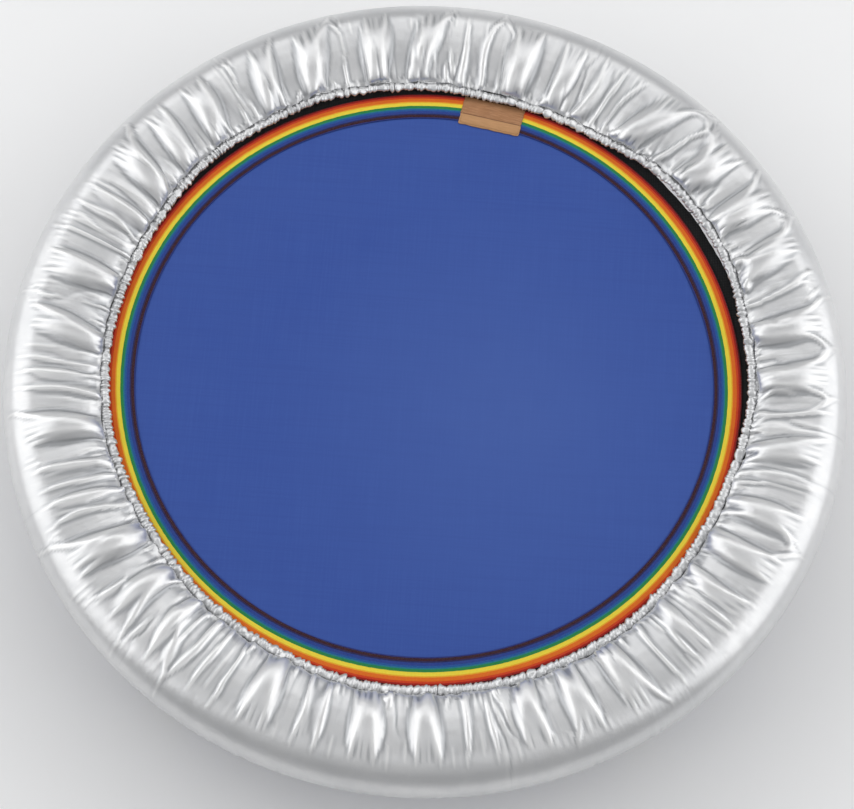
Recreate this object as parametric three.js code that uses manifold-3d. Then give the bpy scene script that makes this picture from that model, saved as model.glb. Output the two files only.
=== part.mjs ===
// Round mini trampoline: a hollow steel ring on five folding legs, a jumping mat
// hung in it on steel coil springs, and a padded elasticated cover over ring and springs.
// Millimetres, +Z up, Z = 0 is the floor, the vertical axis of the ring is the Z axis.
import * as THREE from 'three';
import { mergeVertices } from 'three/addons/utils/BufferGeometryUtils.js';
import Module from 'manifold-3d';

const wasm = await Module();
wasm.setup();

// ---------------------------------------------------------------- driving dimensions
const SEG = 48;                    // facets round every ring
const GAP = 0.3;                   // clearance between pieces that touch

const FRAME_R = 479;               // ring tube centreline radius
const FRAME_Z = 178;               // ring tube centre height
const TUBE_R = 15;                 // ring tube outer radius
const TUBE_WALL = 2;

const RIM_R = 478;                 // centre of the padded rim's round section
const RIM_Z = 176;
const RIM_OUT = 42;                // outer radius of that section, skin included
const SKIN_T = 1.4;

const MAT_R = 391;
const MAT_Z = 184;                 // middle of the mat's thickness
const MAT_T = 1.6;
const WEB_IN = 356;                // striped webbing, inner and outer radius
const WEB_OUT = 391;
const WEB_T = 1.2;
const STRAP_IN = 380;              // loop strap under the mat's edge
const STRAP_OUT = 404;
const STRAP_T = 2.5;

const SPRINGS = 30;
const SPRING_Z = 181.6;
const SPRING_BODY_R = 6.5;
const SPRING_IN = 419;
const SPRING_OUT = 456;
const WIRE_R = 1.1;
const HOLE_R = 3.4;

const LEGS = 5;
const LEG_RING_R = 479;            // leg centreline radius
const LEG_FIRST = 90;              // azimuth of leg 1, degrees
const LEG_TUBE_R = 12.5;
const LEG_WALL = 1.6;
const PIVOT_Z = 144;
const LEG_TOP = 9.3;               // leg tube above the pivot
const FOLD_TILT = 10.5;            // swing plane turned in from the tangent, degrees
const FOLD_SIDE = [1, -1, 1, -1, 1];
const FOOT_R = 16.5;
const FOOT_H = 30;
const FOOT_SOLE = 5;
const BOLT_R = 3.9;
const EAR_T = 2.2;

const LABEL_AZ = 80.1;             // stitched patch over the webbing's joint
const LABEL_R = 369;
const LABEL_L = 80;
const LABEL_W = 40;
const LABEL_T = 1.2;

const rad = THREE.MathUtils.degToRad;

// ---------------------------------------------------------------- helpers
function solid(geometry) {
  const g = geometry.clone();
  g.deleteAttribute('normal');
  g.deleteAttribute('uv');
  const m = mergeVertices(g, 1e-4);
  const p = m.attributes.position;
  const idx = m.index.array;
  const tri = [];
  let vol = 0;
  const a = new THREE.Vector3(), b = new THREE.Vector3(), c = new THREE.Vector3();
  for (let i = 0; i < idx.length; i += 3) {
    const [u, v, w] = [idx[i], idx[i + 1], idx[i + 2]];
    if (u === v || v === w || u === w) continue;
    tri.push(u, v, w);
    a.fromBufferAttribute(p, u);
    b.fromBufferAttribute(p, v);
    c.fromBufferAttribute(p, w);
    vol += a.dot(b.cross(c)) / 6;
  }
  if (vol < 0) for (let i = 0; i < tri.length; i += 3) [tri[i], tri[i + 1]] = [tri[i + 1], tri[i]];
  return new wasm.Manifold(new wasm.Mesh({
    numProp: 3,
    vertProperties: new Float32Array(p.array),
    triVerts: new Uint32Array(tri),
  }));
}

function geometryOf(manifold) {
  const m = manifold.getMesh();
  const g = new THREE.BufferGeometry();
  g.setAttribute('position', new THREE.BufferAttribute(new Float32Array(m.vertProperties), 3));
  g.setIndex(new THREE.BufferAttribute(new Uint32Array(m.triVerts), 1));
  g.computeVertexNormals();
  return g;
}

const union = (parts) => parts.reduce((a, b) => a.add(b));

// closed profile of [radius, height] pairs turned about Z
function ring(profile, closed = true) {
  const pts = profile.map(([r, z]) => new THREE.Vector2(r, z));
  if (closed) pts.push(pts[0].clone());
  const g = new THREE.LatheGeometry(pts, SEG, rad(180 / SEG), Math.PI * 2);
  g.rotateX(Math.PI / 2);
  return solid(g);
}

// closed profile turned about Z at the origin, for small turned pieces
function turned(profile, sides, closed = false) {
  const pts = profile.map(([r, z]) => new THREE.Vector2(r, z));
  if (closed) pts.push(pts[0].clone());
  const g = new THREE.LatheGeometry(pts, sides, Math.PI / sides, Math.PI * 2);
  g.rotateX(Math.PI / 2);
  return g;
}

function polygon(n, r, turn = 0) {
  const s = new THREE.Shape();
  for (let i = 0; i < n; i++) {
    const a = turn + (2 * Math.PI * i) / n;
    if (i) s.lineTo(r * Math.cos(a), r * Math.sin(a));
    else s.moveTo(r * Math.cos(a), r * Math.sin(a));
  }
  s.closePath();
  return s;
}

function outline(points) {
  const s = new THREE.Shape();
  points.forEach(([x, y], i) => (i ? s.lineTo(x, y) : s.moveTo(x, y)));
  s.closePath();
  return s;
}

// flat plate: outline in X and Y, thickness up from z0
function plateXY(shape, z0, t) {
  const g = new THREE.ExtrudeGeometry(shape, { depth: t, bevelEnabled: false });
  g.translate(0, 0, z0);
  return g;
}

// upright plate: outline in X and Z, thickness from y0 towards +Y
function plateXZ(shape, y0, t) {
  const g = new THREE.ExtrudeGeometry(shape, { depth: t, bevelEnabled: false });
  g.rotateX(Math.PI / 2);
  g.translate(0, y0 + t, 0);
  return g;
}

// round bar along Y from y0 to y1
function barY(r, sides, y0, y1, x, z) {
  const g = new THREE.ExtrudeGeometry(polygon(sides, r, Math.PI / sides), { depth: y1 - y0, bevelEnabled: false });
  g.rotateX(Math.PI / 2);
  g.translate(x, y1, z);
  return g;
}

// round wire along a smooth path through points
function wire(points, r, sides, steps) {
  const path = new THREE.CatmullRomCurve3(points.map((p) => new THREE.Vector3(...p)), false, 'centripetal');
  return new THREE.ExtrudeGeometry(polygon(sides, r), { steps, bevelEnabled: false, extrudePath: path });
}

function placed(geometry, matrix) {
  const g = geometry.clone();
  g.applyMatrix4(matrix);
  return g;
}

const spin = (deg) => new THREE.Matrix4().makeRotationZ(rad(deg));

// a line of [radius, height] pairs thickened to a closed band
function band(line, t) {
  const n = line.length;
  const left = [], right = [];
  for (let i = 0; i < n; i++) {
    const p = line[Math.max(i - 1, 0)], q = line[i], s = line[Math.min(i + 1, n - 1)];
    const d1 = new THREE.Vector2(q[0] - p[0], q[1] - p[1]);
    const d2 = new THREE.Vector2(s[0] - q[0], s[1] - q[1]);
    if (i === 0) d1.copy(d2);
    if (i === n - 1) d2.copy(d1);
    d1.normalize();
    d2.normalize();
    const m = d1.clone().add(d2).normalize();
    const k = t / 2 / m.dot(d1);
    left.push([q[0] - m.y * k, q[1] + m.x * k]);
    right.push([q[0] + m.y * k, q[1] - m.x * k]);
  }
  return [...left, ...right.reverse()];
}

const onArc = (cr, cz, r, deg) => [cr + r * Math.cos(rad(deg)), cz + r * Math.sin(rad(deg))];

// ---------------------------------------------------------------- materials
const material = (color, roughness, metalness) => new THREE.MeshStandardMaterial({ color, roughness, metalness });
const STEEL = () => material('#b9bcc0', 0.35, 0.9);
const ZINC = () => material('#c7c9cc', 0.3, 0.95);
const group = new THREE.Group();
group.name = 'mini_trampoline';

function add(name, manifold, mat) {
  const mesh = new THREE.Mesh(geometryOf(manifold), mat);
  mesh.name = name;
  group.add(mesh);
}

// ---------------------------------------------------------------- ring tube
const circleProfile = (cr, cz, r, n) => Array.from({ length: n }, (_, i) => onArc(cr, cz, r, -90 + (360 * i) / n));
const springAzimuth = (i) => LEG_FIRST + 180 / SPRINGS + (360 * i) / SPRINGS;

let frame = ring(circleProfile(FRAME_R, FRAME_Z, TUBE_R, 8));
frame = frame.subtract(ring(circleProfile(FRAME_R, FRAME_Z, TUBE_R - TUBE_WALL, 8)));
const drill = new THREE.ExtrudeGeometry(polygon(6, HOLE_R), { depth: 22, bevelEnabled: false });
drill.rotateY(Math.PI / 2);
drill.translate(455, 0, SPRING_Z - 0.4);
for (let i = 0; i < SPRINGS; i++) frame = frame.subtract(solid(placed(drill, spin(springAzimuth(i)))));
add('frame_ring', frame, STEEL());

// ---------------------------------------------------------------- legs
const saddleTop = FRAME_Z - TUBE_R - GAP;
const saddleBottom = saddleTop - 2.5;
const earIn = LEG_TUBE_R + 0.5;
const earOut = earIn + EAR_T;
const webOut = LEG_TUBE_R + GAP + EAR_T;

function legFrame(i) {
  const az = rad(LEG_FIRST + (360 * i) / LEGS);
  const tilt = rad(FOLD_TILT);
  const t = new THREE.Vector3(-Math.sin(az), Math.cos(az), 0).multiplyScalar(FOLD_SIDE[i] * Math.cos(tilt));
  const f = t.add(new THREE.Vector3(Math.cos(az), Math.sin(az), 0).multiplyScalar(-Math.sin(tilt)));
  const up = new THREE.Vector3(0, 0, 1);
  const y = up.clone().cross(f);
  return new THREE.Matrix4().makeBasis(f, y, up)
    .setPosition(LEG_RING_R * Math.cos(az), LEG_RING_R * Math.sin(az), 0);
}

const earOutline = outline([
  [-webOut, saddleTop], [webOut, saddleTop], [webOut, 147], [9, 136], [-6, 133], [-10.5, 114], [-webOut, 114],
]);
let bracket = union([
  solid(plateXY(outline([[-webOut, -earOut], [webOut, -earOut], [webOut, earOut], [-webOut, earOut]]), saddleBottom, 2.5)),
  solid(plateXZ(earOutline, -earOut, EAR_T)),
  solid(plateXZ(earOutline, earIn, EAR_T)),
  solid(plateXY(outline([[-webOut, -earOut], [-webOut + EAR_T, -earOut], [-webOut + EAR_T, earOut], [-webOut, earOut]]), 114, 19)),
]).subtract(solid(barY(BOLT_R + GAP + 0.15, 8, -30, 30, 0, PIVOT_Z)));

const bolt = union([
  solid(barY(BOLT_R, 8, -18, 19, 0, PIVOT_Z)),
  solid(barY(7, 6, -19, -(earOut + GAP), 0, PIVOT_Z)),
  solid(barY(6.8, 6, earOut + GAP, 18.6, 0, PIVOT_Z)),
]);

const legTop = PIVOT_Z + LEG_TOP;
const legBottom = FOOT_SOLE + GAP;
const legTube = solid(turned([
  [LEG_TUBE_R - LEG_WALL, legBottom], [LEG_TUBE_R, legBottom], [LEG_TUBE_R, legTop], [LEG_TUBE_R - LEG_WALL, legTop],
], 12, true)).subtract(solid(barY(BOLT_R + GAP + 0.15, 8, -30, 30, 0, PIVOT_Z)));

const foot = solid(turned([
  [0, 0], [FOOT_R - 1, 0], [FOOT_R, 1.5], [FOOT_R - 0.6, FOOT_H], [LEG_TUBE_R + GAP, FOOT_H], [LEG_TUBE_R + GAP, FOOT_SOLE], [0, FOOT_SOLE],
], 12));

const move = (manifold, matrix) => solid(placed(geometryOf(manifold), matrix));
for (let i = 0; i < LEGS; i++) {
  const m = legFrame(i);
  add(`leg_bracket_${i + 1}`, move(bracket, m), STEEL());
  add(`pivot_bolt_${i + 1}`, move(bolt, m), ZINC());
  add(`leg_tube_${i + 1}`, move(legTube, m), STEEL());
  add(`rubber_foot_${i + 1}`, move(foot, m), material('#1c1c1d', 0.85, 0));
}

// ---------------------------------------------------------------- mat and what is sewn to it
const matLow = MAT_Z - MAT_T / 2;
const matHigh = MAT_Z + MAT_T / 2;
add('jump_mat', ring([[0, matLow], [MAT_R, matLow], [MAT_R, matHigh], [0, matHigh]], false), material('#2f45a0', 0.8, 0));

const webLow = matHigh + GAP;
const webHigh = webLow + WEB_T;
add('rainbow_webbing', ring([[WEB_IN, webLow], [WEB_OUT, webLow], [WEB_OUT, webHigh], [WEB_IN, webHigh]]), material('#e8722c', 0.8, 0));

// strap with its wire rings: one sewn assembly, each ring caught in a loop of the strap
const strapHigh = matLow - GAP;
const strapLow = strapHigh - STRAP_T;
let strap = ring([[STRAP_IN, strapLow], [STRAP_OUT, strapLow], [STRAP_OUT, strapHigh], [STRAP_IN, strapHigh]]);
const vRing = outline([[402, -12], [416, -5.5], [416, 5.5], [402, 12]]);
vRing.holes.push(new THREE.Path([[404.5, -9], [413.4, -3.2], [413.4, 3.2], [404.5, 9]].map(([x, y]) => new THREE.Vector2(x, y))));
const vPlate = plateXY(vRing, strapLow + 0.05, 2.4);
for (let i = 0; i < SPRINGS; i++) strap = strap.add(solid(placed(vPlate, spin(springAzimuth(i)))));
add('loop_strap_with_rings', strap, material('#161616', 0.9, 0));

const half = [LABEL_W / 2, LABEL_L / 2];
const label = plateXY(outline([
  [-half[0], -half[1]], [half[0], -half[1]], [half[0], half[1]], [-half[0], half[1]],
]), webHigh + GAP, LABEL_T);
label.translate(LABEL_R, 0, 0);
add('label_patch', solid(placed(label, spin(LABEL_AZ))), material('#a06a3c', 0.7, 0));

// ---------------------------------------------------------------- springs
const coil = new THREE.ExtrudeGeometry(polygon(6, SPRING_BODY_R), { depth: SPRING_OUT - SPRING_IN, bevelEnabled: false });
coil.rotateY(Math.PI / 2);
coil.translate(SPRING_IN, 0, SPRING_Z);
const innerHook = wire([
  [SPRING_IN + 1, 0, SPRING_Z], [416.8, 0, 186.2], [412.6, 0, 187], [411.2, 0, 182], [412.2, 0, 177.2], [415.6, 0, 176.6],
], WIRE_R, 4, 6);
const outerHook = wire([
  [SPRING_OUT - 1, 0, SPRING_Z], [461, 0, SPRING_Z], [467.5, 0, SPRING_Z], [470.4, 0, 179], [470.2, 0, 174.8],
], WIRE_R, 4, 4);
const spring = union([solid(coil), solid(innerHook), solid(outerHook)]);
for (let i = 0; i < SPRINGS; i++) {
  const n = String(i + 1).padStart(2, '0');
  add(`tension_spring_${n}`, move(spring, spin(springAzimuth(i))), ZINC());
}

// ---------------------------------------------------------------- padding and cover
const ARC = [-50, -22, 6, 34, 62, 90];
const foamR = RIM_OUT - SKIN_T - 2 * GAP;
const foam = ring([
  ...ARC.map((a) => onArc(RIM_R, RIM_Z, foamR, a)),
  [440, 212.4], [410, 203.6], [409, 196], [470, 195.5],
  ...[90, 45, 0].map((a) => onArc(FRAME_R, FRAME_Z, TUBE_R + 0.5, a)),
  [500, 167], [500, 149],
]);
add('foam_pad', foam, material('#d9d4c3', 0.95, 0));

const coverLine = [
  [507.7, 138.8], [504.2, 135.6], [501.0, 139.2],
  ...ARC.map((a) => onArc(RIM_R, RIM_Z, RIM_OUT - SKIN_T / 2, a)),
  [440, 213.9], [407, 204.5], [398, 197.2], [393.9, 192.8], [397.6, 188.8], [401.8, 191.6],
];
add('edge_cover', ring(band(coverLine, SKIN_T)), material('#c4c6c8', 0.4, 0.5));

const cord = (r, z) => ring([[r - 1.5, z - 0.9], [r + 1.5, z - 0.9], [r, z + 1.4]]);
add('inner_hem_elastic', cord(398, 192.8), material('#e9e9e6', 0.9, 0));
add('outer_hem_elastic', cord(504.4, 139.3), material('#e9e9e6', 0.9, 0));

export default group;
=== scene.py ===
"""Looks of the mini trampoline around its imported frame. Metres, same frame as the CAD."""
import math

import bmesh
import bpy
import numpy as np
from mathutils import Matrix, Vector


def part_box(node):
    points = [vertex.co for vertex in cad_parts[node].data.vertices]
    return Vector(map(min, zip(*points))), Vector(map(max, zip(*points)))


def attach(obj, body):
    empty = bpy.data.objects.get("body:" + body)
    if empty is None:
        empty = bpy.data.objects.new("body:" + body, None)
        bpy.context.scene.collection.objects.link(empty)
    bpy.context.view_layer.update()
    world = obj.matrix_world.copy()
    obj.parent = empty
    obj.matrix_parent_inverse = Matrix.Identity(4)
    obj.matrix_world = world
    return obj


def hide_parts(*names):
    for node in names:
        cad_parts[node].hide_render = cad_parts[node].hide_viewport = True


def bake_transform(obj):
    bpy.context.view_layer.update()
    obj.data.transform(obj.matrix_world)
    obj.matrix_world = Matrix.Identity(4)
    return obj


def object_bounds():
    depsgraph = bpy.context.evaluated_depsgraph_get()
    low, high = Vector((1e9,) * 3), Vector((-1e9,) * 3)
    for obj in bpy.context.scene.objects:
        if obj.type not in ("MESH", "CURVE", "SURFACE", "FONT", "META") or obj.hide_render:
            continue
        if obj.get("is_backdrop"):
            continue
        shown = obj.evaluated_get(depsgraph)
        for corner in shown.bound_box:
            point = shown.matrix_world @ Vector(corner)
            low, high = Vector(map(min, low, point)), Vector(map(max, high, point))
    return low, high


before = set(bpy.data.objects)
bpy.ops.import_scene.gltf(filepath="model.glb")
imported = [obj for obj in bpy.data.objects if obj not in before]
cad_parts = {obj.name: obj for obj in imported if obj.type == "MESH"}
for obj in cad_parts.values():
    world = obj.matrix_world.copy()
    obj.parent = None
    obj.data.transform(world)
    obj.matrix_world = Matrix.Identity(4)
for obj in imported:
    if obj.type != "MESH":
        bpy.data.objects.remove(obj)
CAD_BOX = [[float(c) for c in v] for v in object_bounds()]
TAU = 2 * math.pi

# ------------------------------------------------------------------ places taken from the frame
ring_lo, ring_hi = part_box("frame_ring")
TUBE_R = (ring_hi.z - ring_lo.z) / 2
RING_R = ring_hi.x - TUBE_R
RING_Z = (ring_hi.z + ring_lo.z) / 2
mat_lo, mat_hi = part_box("jump_mat")
MAT_R, MAT_TOP, MAT_UNDER = mat_hi.x, mat_hi.z, mat_lo.z
web_lo, web_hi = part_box("rainbow_webbing")
WEB_OUT, WEB_TOP, WEB_UNDER = web_hi.x, web_hi.z, web_lo.z
WEB_IN = WEB_OUT - 0.035
SPRINGS = 30
SPRING_AZ = [math.radians(96 + 12 * i) for i in range(SPRINGS)]
SPRING_Z = 0.1816
LEG_AZ = [math.radians(90 + 72 * i) for i in range(5)]
FOLD_SIDE = [1, -1, 1, -1, 1]
FOLD_TILT = math.radians(10.5)
RIM_R, RIM_Z = 0.478, 0.176


# ------------------------------------------------------------------ mesh tools
class Geo:
    """Gathers points and faces, and the material number of each face."""

    def __init__(self):
        self.v, self.f, self.m, self.n = [], [], [], 0

    def add(self, V, F, m=0):
        V = np.asarray(V, float).reshape(-1, 3)
        F = F.tolist() if isinstance(F, np.ndarray) else F
        self.v.append(V)
        self.f.extend([[int(i) + self.n for i in f] for f in F])
        self.m.extend([m] * len(F))
        self.n += len(V)
        return self

    def object(self, name, mats, smooth=True, sharp=None, fix=True):
        me = bpy.data.meshes.new(name)
        me.from_pydata(np.concatenate(self.v).tolist(), [], self.f)
        me.update()
        if fix:
            bm = bmesh.new()
            bm.from_mesh(me)
            bmesh.ops.recalc_face_normals(bm, faces=bm.faces)
            bm.to_mesh(me)
            bm.free()
        me.polygons.foreach_set("use_smooth", [smooth] * len(me.polygons))
        mats = mats if isinstance(mats, (list, tuple)) else [mats]
        for m in mats:
            me.materials.append(m)
        if len(mats) > 1:
            me.polygons.foreach_set("material_index", self.m)
        if sharp is not None:
            me.set_sharp_from_angle(angle=math.radians(sharp))
        me.update()
        ob = bpy.data.objects.new(name, me)
        bpy.context.scene.collection.objects.link(ob)
        return ob


def norm(a):
    return a / (np.linalg.norm(a, axis=-1, keepdims=True) + 1e-12)


def grid_faces(rows, cols, wrap_rows=False, wrap_cols=False):
    i = np.arange(rows * cols).reshape(rows, cols)
    a = i if wrap_rows else i[:-1]
    b = np.roll(i, -1, 0) if wrap_rows else i[1:]
    if wrap_cols:
        a2, b2 = np.roll(a, -1, 1), np.roll(b, -1, 1)
    else:
        a2, b2, a, b = a[:, 1:], b[:, 1:], a[:, :-1], b[:, :-1]
    return np.stack([a, a2, b2, b], -1).reshape(-1, 4)


def revolve(profile, n, closed=True):
    """A profile of [radius, z] turned round the z axis."""
    p = np.asarray(profile, float)
    th = TAU * np.arange(n) / n
    V = np.stack(
        [p[:, :1] * np.cos(th), p[:, :1] * np.sin(th), np.repeat(p[:, 1:], n, 1)], -1
    )
    return V.reshape(-1, 3), grid_faces(len(p), n, closed, True)


def smooth_path(points, per=8, closed=False):
    """A Catmull-Rom line through the points."""
    P = np.asarray(points, float)
    n = len(P)
    out = []
    for i in range(n if closed else n - 1):
        if closed:
            a, b, c, d = P[i - 1], P[i], P[(i + 1) % n], P[(i + 2) % n]
        else:
            a, b, c, d = P[max(i - 1, 0)], P[i], P[i + 1], P[min(i + 2, n - 1)]
        for t in np.arange(per) / per:
            out.append(
                0.5
                * (
                    2 * b
                    + (-a + c) * t
                    + (2 * a - 5 * b + 4 * c - d) * t**2
                    + (-a + 3 * b - 3 * c + d) * t**3
                )
            )
    if not closed:
        out.append(P[-1])
    return np.array(out)


def sweep(path, radius, sides=8, closed=False, section=None, up=None):
    """A round tube, or any closed section of [side, up] points, along a path."""
    P = np.asarray(path, float)
    n = len(P)
    if closed:
        T = norm(np.roll(P, -1, 0) - np.roll(P, 1, 0))
    else:
        T = norm(np.gradient(P, axis=0))
    if up is not None:
        U = np.asarray(up, float)
        U = np.broadcast_to(U, P.shape)
        N = norm(np.cross(T, U))
    else:
        first = np.cross(T[0], [0, 0, 1.0])
        if np.linalg.norm(first) < 0.1:
            first = np.cross(T[0], [1.0, 0, 0])
        N = [norm(first)]
        for i in range(1, n):
            v = N[-1] - T[i] * np.dot(N[-1], T[i])
            N.append(norm(v))
        N = np.array(N)
        if closed:
            v = norm(N[-1] - T[0] * np.dot(N[-1], T[0]))
            a = math.atan2(np.dot(np.cross(v, N[0]), T[0]), np.dot(v, N[0]))
            B = np.cross(T, N)
            k = (a * np.arange(n) / n)[:, None]
            N = N * np.cos(k) + B * np.sin(k)
    B = np.cross(N, T)
    if section is None:
        t = TAU * np.arange(sides) / sides
        section = np.stack([np.cos(t), np.sin(t)], 1)
        r = np.broadcast_to(np.asarray(radius, float), (n,))[:, None, None]
    else:
        section = np.asarray(section, float)
        r = np.broadcast_to(np.asarray(radius, float), (n,))[:, None, None]
    s = section[None]
    V = P[:, None] + r * (s[..., :1] * N[:, None] + s[..., 1:] * B[:, None])
    k = len(section)
    F = grid_faces(n, k, closed, True).tolist()
    if not closed:
        F += [list(range(k)), list(range((n - 1) * k, n * k))]
    return V.reshape(-1, 3), F


def turn(az):
    """Radial, tangential and up directions at an azimuth."""
    c, s = math.cos(az), math.sin(az)
    return np.array([[c, s, 0], [-s, c, 0], [0, 0, 1.0]])


def at(az, pts):
    """Points [radius, along the ring, z] put in place at an azimuth."""
    return np.asarray(pts, float) @ turn(az)


def noise1(rng, n, lo, hi):
    """Smooth noise round a ring: n samples with lo to hi cycles, unit rms."""
    f = np.zeros(n // 2 + 1, complex)
    k = np.arange(lo, min(hi, n // 2))
    f[k] = rng.normal(size=len(k)) + 1j * rng.normal(size=len(k))
    y = np.fft.irfft(f, n)
    return y / (y.std() + 1e-12)


def bevel(ob, width, segments=2, angle=35):
    m = ob.modifiers.new("edge", "BEVEL")
    m.width, m.segments, m.limit_method, m.angle_limit = width, segments, "ANGLE", math.radians(angle)
    m.harden_normals = False
    apply(ob)


def apply(ob):
    dg = bpy.context.evaluated_depsgraph_get()
    me = bpy.data.meshes.new_from_object(ob.evaluated_get(dg), depsgraph=dg)
    old = ob.data
    ob.modifiers.clear()
    ob.data = me
    me.name = ob.name


def cut(ob, cutter, solver="MANIFOLD"):
    m = ob.modifiers.new("cut", "BOOLEAN")
    m.operation, m.solver, m.object = "DIFFERENCE", solver, cutter
    apply(ob)
    bpy.data.objects.remove(cutter)


def smooth_by_angle(ob, deg=35):
    ob.data.polygons.foreach_set("use_smooth", [True] * len(ob.data.polygons))
    ob.data.set_sharp_from_angle(angle=math.radians(deg))


def place(ob, body, slot, *nodes):
    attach(ob, body)
    if nodes:
        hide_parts(*nodes)
    return ob


# ------------------------------------------------------------------ materials
def lin(r, g, b):
    """An 8-bit screen colour as a linear one."""
    return tuple(
        (c / 12.92 if c <= 0.04045 else ((c + 0.055) / 1.055) ** 2.4)
        for c in (r / 255, g / 255, b / 255)
    ) + (1.0,)


class Mat:
    """A Principled material and short names for its nodes."""

    def __init__(self, name, **sockets):
        self.m = bpy.data.materials.new(name)
        self.m.use_nodes = True
        self.t = self.m.node_tree
        self.bs = self.t.nodes["Principled BSDF"]
        for k, v in sockets.items():
            self.bs.inputs[k.replace("_", " ")].default_value = v
        self.xyz = self.node("ShaderNodeTexCoord").outputs["Object"]

    def node(self, kind, **props):
        n = self.t.nodes.new(kind)
        for k, v in props.items():
            setattr(n, k, v)
        return n

    def put(self, socket, value):
        if isinstance(value, bpy.types.NodeSocket):
            self.t.links.new(value, socket)
        else:
            socket.default_value = value

    def math(self, op, a, b=0.0, c=None):
        n = self.node("ShaderNodeMath", operation=op)
        self.put(n.inputs[0], a)
        self.put(n.inputs[1], b)
        if c is not None:
            self.put(n.inputs[2], c)
        return n.outputs[0]

    def split(self, v=None):
        n = self.node("ShaderNodeSeparateXYZ")
        self.put(n.inputs[0], v or self.xyz)
        return n.outputs

    def join(self, x, y, z):
        n = self.node("ShaderNodeCombineXYZ")
        for s, v in zip(n.inputs, (x, y, z)):
            self.put(s, v)
        return n.outputs[0]

    def noise(self, scale, detail=3.0, rough=0.55, distort=0.0, vec=None):
        n = self.node("ShaderNodeTexNoise")
        self.put(n.inputs["Vector"], vec or self.xyz)
        n.inputs["Scale"].default_value = scale
        n.inputs["Detail"].default_value = detail
        n.inputs["Roughness"].default_value = rough
        n.inputs["Distortion"].default_value = distort
        return n.outputs[0]

    def voronoi(self, scale, feature="F1", vec=None):
        n = self.node("ShaderNodeTexVoronoi", feature=feature)
        self.put(n.inputs["Vector"], vec or self.xyz)
        n.inputs["Scale"].default_value = scale
        return n.outputs["Distance"]

    def ramp(self, fac, stops, mode="LINEAR"):
        n = self.node("ShaderNodeValToRGB")
        r = n.color_ramp
        r.interpolation = mode
        while len(r.elements) > len(stops):
            r.elements.remove(r.elements[-1])
        while len(r.elements) < len(stops):
            r.elements.new(1.0)
        for e, (p, c) in zip(r.elements, stops):
            e.position = p
            e.color = c if len(c) == 4 else (*c, 1.0)
        self.put(n.inputs[0], fac)
        return n.outputs[0]

    def mix(self, fac, a, b, blend="MIX"):
        n = self.node("ShaderNodeMix", data_type="RGBA", blend_type=blend)
        self.put(n.inputs[0], fac)
        self.put(n.inputs[6], a)
        self.put(n.inputs[7], b)
        return n.outputs[2]

    def range(self, v, lo, hi, a, b):
        n = self.node("ShaderNodeMapRange")
        self.put(n.inputs[0], v)
        for i, x in zip((1, 2, 3, 4), (lo, hi, a, b)):
            n.inputs[i].default_value = x
        return n.outputs[0]

    def wave(self, coord, pitch):
        """0 to 1 ridges along a coordinate."""
        s = self.math("MULTIPLY", coord, TAU / pitch)
        return self.math("MULTIPLY_ADD", self.math("SINE", s), 0.5, 0.5)

    def bump(self, height, distance, strength=1.0, under=None):
        n = self.node("ShaderNodeBump")
        n.inputs["Strength"].default_value = strength
        n.inputs["Distance"].default_value = distance
        self.put(n.inputs["Height"], height)
        if under is not None:
            self.put(n.inputs["Normal"], under)
        self.put(self.bs.inputs["Normal"], n.outputs[0])
        return n.outputs[0]

    def color(self, v):
        self.put(self.bs.inputs["Base Color"], v)
        return self

    def rough(self, v):
        self.put(self.bs.inputs["Roughness"], v)
        return self

    def polar(self):
        x, y, z = self.split()
        r = self.math("SQRT", self.math("MULTIPLY_ADD", x, x, self.math("MULTIPLY", y, y)))
        a = self.math("ARCTAN2", y, x)
        return r, a, z


def steel(name, tint, rough=(0.28, 0.45), metal=1.0, streak=0.15, grain=900.0, bump=0.00004):
    m = Mat(name, Metallic=metal)
    big = m.noise(38, 4)
    fine = m.noise(grain, 2)
    dark = tuple(c * (1 - streak) for c in tint[:3]) + (1.0,)
    m.color(m.mix(m.range(big, 0.35, 0.68, 0, 1), dark, tint))
    m.rough(m.math("ADD", m.range(big, 0.3, 0.7, rough[0], rough[1]), m.range(fine, 0.3, 0.7, -0.03, 0.03)))
    m.bump(fine, bump, 0.6)
    return m.m


def zinc(name, tint=(0.56, 0.575, 0.60, 1)):
    """Zinc plating: fine crystal patches, brighter and duller."""
    m = Mat(name, Metallic=1.0)
    n = m.node("ShaderNodeTexVoronoi", feature="F1")
    m.put(n.inputs["Vector"], m.xyz)
    n.inputs["Scale"].default_value = 260
    cell = m.split(n.outputs["Color"])[0]
    big = m.noise(30, 4)
    dark = tuple(c * 0.80 for c in tint[:3]) + (1.0,)
    fac = m.math("MULTIPLY_ADD", cell, 0.35, m.range(big, 0.35, 0.65, 0.0, 0.65))
    m.color(m.mix(fac, dark, tint))
    m.rough(m.math("MULTIPLY_ADD", cell, 0.08, m.range(big, 0.3, 0.7, 0.26, 0.42)))
    m.bump(m.noise(1400, 2), 0.00003, 0.5)
    return m.m


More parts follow.
